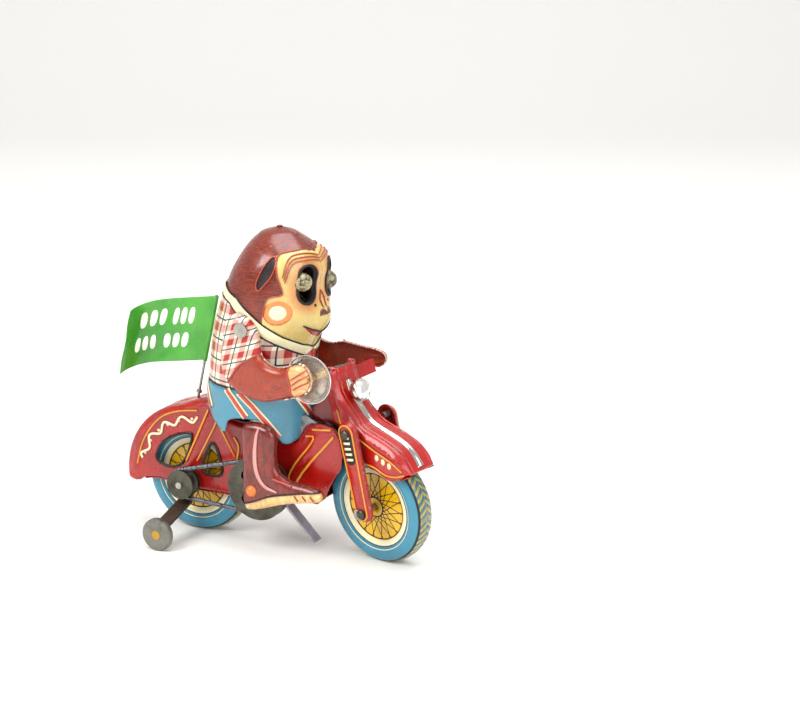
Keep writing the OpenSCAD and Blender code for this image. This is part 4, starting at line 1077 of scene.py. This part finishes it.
eyes = Piece("eye_balls", "eyes", "eye_gold", "eye_rocker")
for y, z in ((-9.25, 101.3), (9.25, 98.3)):
    angle = np.linspace(-89.5, 89.5, 25)
    eyes.lathe(np.stack([3.4 * np.cos(np.radians(angle)), 3.4 * np.sin(np.radians(angle))], 1), (15.1, y, z), EYE,
               count=40)
eyes.tube([(12.2, -9.25, 101.2), (11, -4.8, 100.6), (11, 4.8, 99), (12.2, 9.25, 98.4)], 0.9, STEEL)
for y, z in ((-4.8, 100.6), (4.8, 99.2)):
    eyes.tube([(3.2, y, 101), (7, y, 101), (11, y, z)], 0.9, STEEL)
eyes.done()

# ---------------------------------------------------------------- flag

WIRE_FOOT, WIRE_LEAN, WIRE_LENGTH = Vector((-35.2, 0, 48.2)), math.atan2(9.7, 42.0), math.hypot(9.7, 42.0)
FLAG_HEIGHT, STRAIGHT, CURL, SLEEVE_RADIUS = 25.5, 18.5, 10.5, 0.8
sleeve_line = arc((0, 0), SLEEVE_RADIUS, -210, 90, 16)
straight_line = np.stack([np.linspace(-1, -STRAIGHT, 20), np.full(20, SLEEVE_RADIUS)], 1)
curl_line = arc((-STRAIGHT, SLEEVE_RADIUS - CURL), CURL, 94, 178, 22)
profile = np.vstack([sleeve_line, straight_line, curl_line])
steps = np.r_[0, np.cumsum(np.linalg.norm(np.diff(profile, axis=0), axis=1))]
FLAG_WIDTH = steps[-1]
DROOP = 0.4


def flag_place(flat):
    """flat is (distance along the sheet, height on the wire)."""
    along = np.clip(flat[:, 0], 0, FLAG_WIDTH)
    x, y = np.interp(along, steps, profile[:, 0]), np.interp(along, steps, profile[:, 1])
    free = np.clip((along - 6) / 20, 0, 1)
    y = y + free * 0.35 * np.sin(flat[:, 1] * 0.42 + along * 0.2)
    up = flat[:, 1] - DROOP * np.clip(along - 4.2, 0, None)
    c, s = math.cos(WIRE_LEAN), math.sin(WIRE_LEAN)
    return np.stack([WIRE_FOOT.x + x * c + up * s, y, WIRE_FOOT.z - x * s + up * c], 1)


flag = Piece("flag_vinyl_sheet", "flag", "flag_vinyl", "flag_sheet")
low, high = WIRE_LENGTH - FLAG_HEIGHT - 0.5, WIRE_LENGTH - 0.5
along, up = np.meshgrid(np.linspace(0, FLAG_WIDTH, 96), np.linspace(low, high, 60))
sheet_flat = np.stack([along.ravel(), up.ravel()], 1)
flag.grid(flag_place(sheet_flat).reshape(60, 96, 3), FLAG, wrap=False)
flag_sheet = flag.done(60, thickness=0.16)
flag_sheet.modifiers["tin"].offset = 0

print_on = Piece("flag_print", "flag", "flag_vinyl")
WHITE = tin("ink_white", "f3f1e6", 0.25, 0.1, 0.2, 0.0)
for u0, u1, v0, v1 in ((12, 21.5, 15, 21.5), (23.5, 34, 15, 21.5), (13, 24, 5.6, 11.4), (26, 34, 5.6, 11.4)):
    for k in range(3):
        u = u0 + (u1 - u0) * k / 3
        block = [(u, low + v0), (u + (u1 - u0) * 0.24, low + v0), (u + (u1 - u0) * 0.24, low + v1), (u, low + v1)]
        for flip in (1, -1):
            print_on.patch(surface(flag_place, flip), rounded(block, 2), WHITE, 0.12)
flag_print = print_on.done(60)


# ---------------------------------------------------------------- CAD parts that are seen as they are

PLAIN = {
    "motor_plate_right": SHEET_STEEL, "motor_plate_left": SHEET_STEEL, "plate_pillars": STEEL,
    # the rider bracket and the headstock take the darker red tin, painted shade for recessed parts
    "rider_bracket": RED_PAINTED_SHADE, "headstock": RED_PAINTED_SHADE, "hip_rod": STEEL, "shoulder_rod": STEEL, "eye_pin": STEEL,
    "outrigger_arm_right": STRAP, "outrigger_arm_left": STRAP, "roller_pins": BRASS, "lever_pin": STEEL,
    "foot_pin": STEEL, "mainspring": SPRING, "flag_wire": STEEL, "rear_axle_rod": STEEL, "rear_pulley": DARK_STEEL,
    "drive_shaft_rod": STEEL, "drive_pulley": DARK_STEEL, "drive_pinion": BRASS, "cam": BRASS,
    "idle_arbor_rod": STEEL, "idle_wheel": BRASS, "idle_pinion": BRASS, "great_wheel": BRASS, "key_arbor_rod": STEEL,
    "winding_key": CHROME, "ratchet_wheel": BRASS, "blade_rivets": STEEL, "steering_stem": STEEL,
    "handlebar": RED, "front_axle_rod": STEEL, "bell_rivet": BRASS, "push_rod": STEEL,
    # the stop lever's lilac tint is painted reflection of the red body
    "stop_lever": LEVER_PAINTED_REFLECTION}
for name, mat in PLAIN.items():
    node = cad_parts[name]
    node.data.materials.clear()
    node.data.materials.append(mat)


# ---------------------------------------------------------------- floor, light and camera

def plain(name, colour, rough):
    n = Nodes(name)
    n.put(n.shader.inputs["Base Color"], n.mix(n.range(n.noise(3, 2), 0.3, 0.7, 0.0, 0.03), colour, "ffffff"))
    n.shader.inputs["Roughness"].default_value = rough
    return n.mat


floor_mesh = bpy.data.meshes.new("floor")
half, rise, radius = 1.6, 1.4, 0.5
curve = [(-1.6, 0.0)] + [(0.9 + radius * math.sin(t), radius - radius * math.cos(t))
                         for t in np.linspace(0, math.pi / 2, 12)] + [(0.9 + radius, rise)]
points = [(x, y, z) for y, z in curve for x in (-half, half)]
floor_mesh.from_pydata(points, [], [(2 * i, 2 * i + 1, 2 * i + 3, 2 * i + 2) for i in range(len(curve) - 1)])
floor_mesh.shade_smooth()
floor_mesh.materials.append(plain("floor_paper", "e9e7e2", 0.6))
floor = bpy.data.objects.new("floor", floor_mesh)
floor.rotation_euler = (0, 0, math.radians(26))
bpy.context.scene.collection.objects.link(floor)

world = bpy.data.worlds.new("studio")
world.use_nodes = True
world.node_tree.nodes["Background"].inputs[0].default_value = (0.93, 0.95, 1.0, 1)
world.node_tree.nodes["Background"].inputs[1].default_value = 0.62
bpy.context.scene.world = world
bpy.context.scene.view_settings.view_transform = "Standard"

TARGET = Vector((47.28, 2.19, 74.57)) * MM
for name, place, size, power in (("key_light", (-0.35, -0.75, 0.85), 0.6, 11), ("fill_light", (0.85, -0.45, 0.5), 0.7, 5),
                                 ("top_light", (0.1, 0.15, 1.0), 0.8, 9)):
    light = bpy.data.lights.new(name, "AREA")
    light.energy, light.size = power, size
    lamp_object = bpy.data.objects.new(name, light)
    lamp_object.location = place
    lamp_object.rotation_euler = (Vector((0, 0, 0.06)) - Vector(place)).to_track_quat("-Z", "Y").to_euler()
    bpy.context.scene.collection.objects.link(lamp_object)

camera_data = bpy.data.cameras.new("camera")
camera_data.lens, camera_data.sensor_width = 90.05, 36
camera_data.clip_start = 0.01
camera = bpy.data.objects.new("camera", camera_data)
camera.location = Vector((343.91, -602.78, 264.34)) * MM
camera.rotation_euler = (TARGET - camera.location).to_track_quat("-Z", "Y").to_euler()
bpy.context.scene.collection.objects.link(camera)
bpy.context.scene.camera = camera
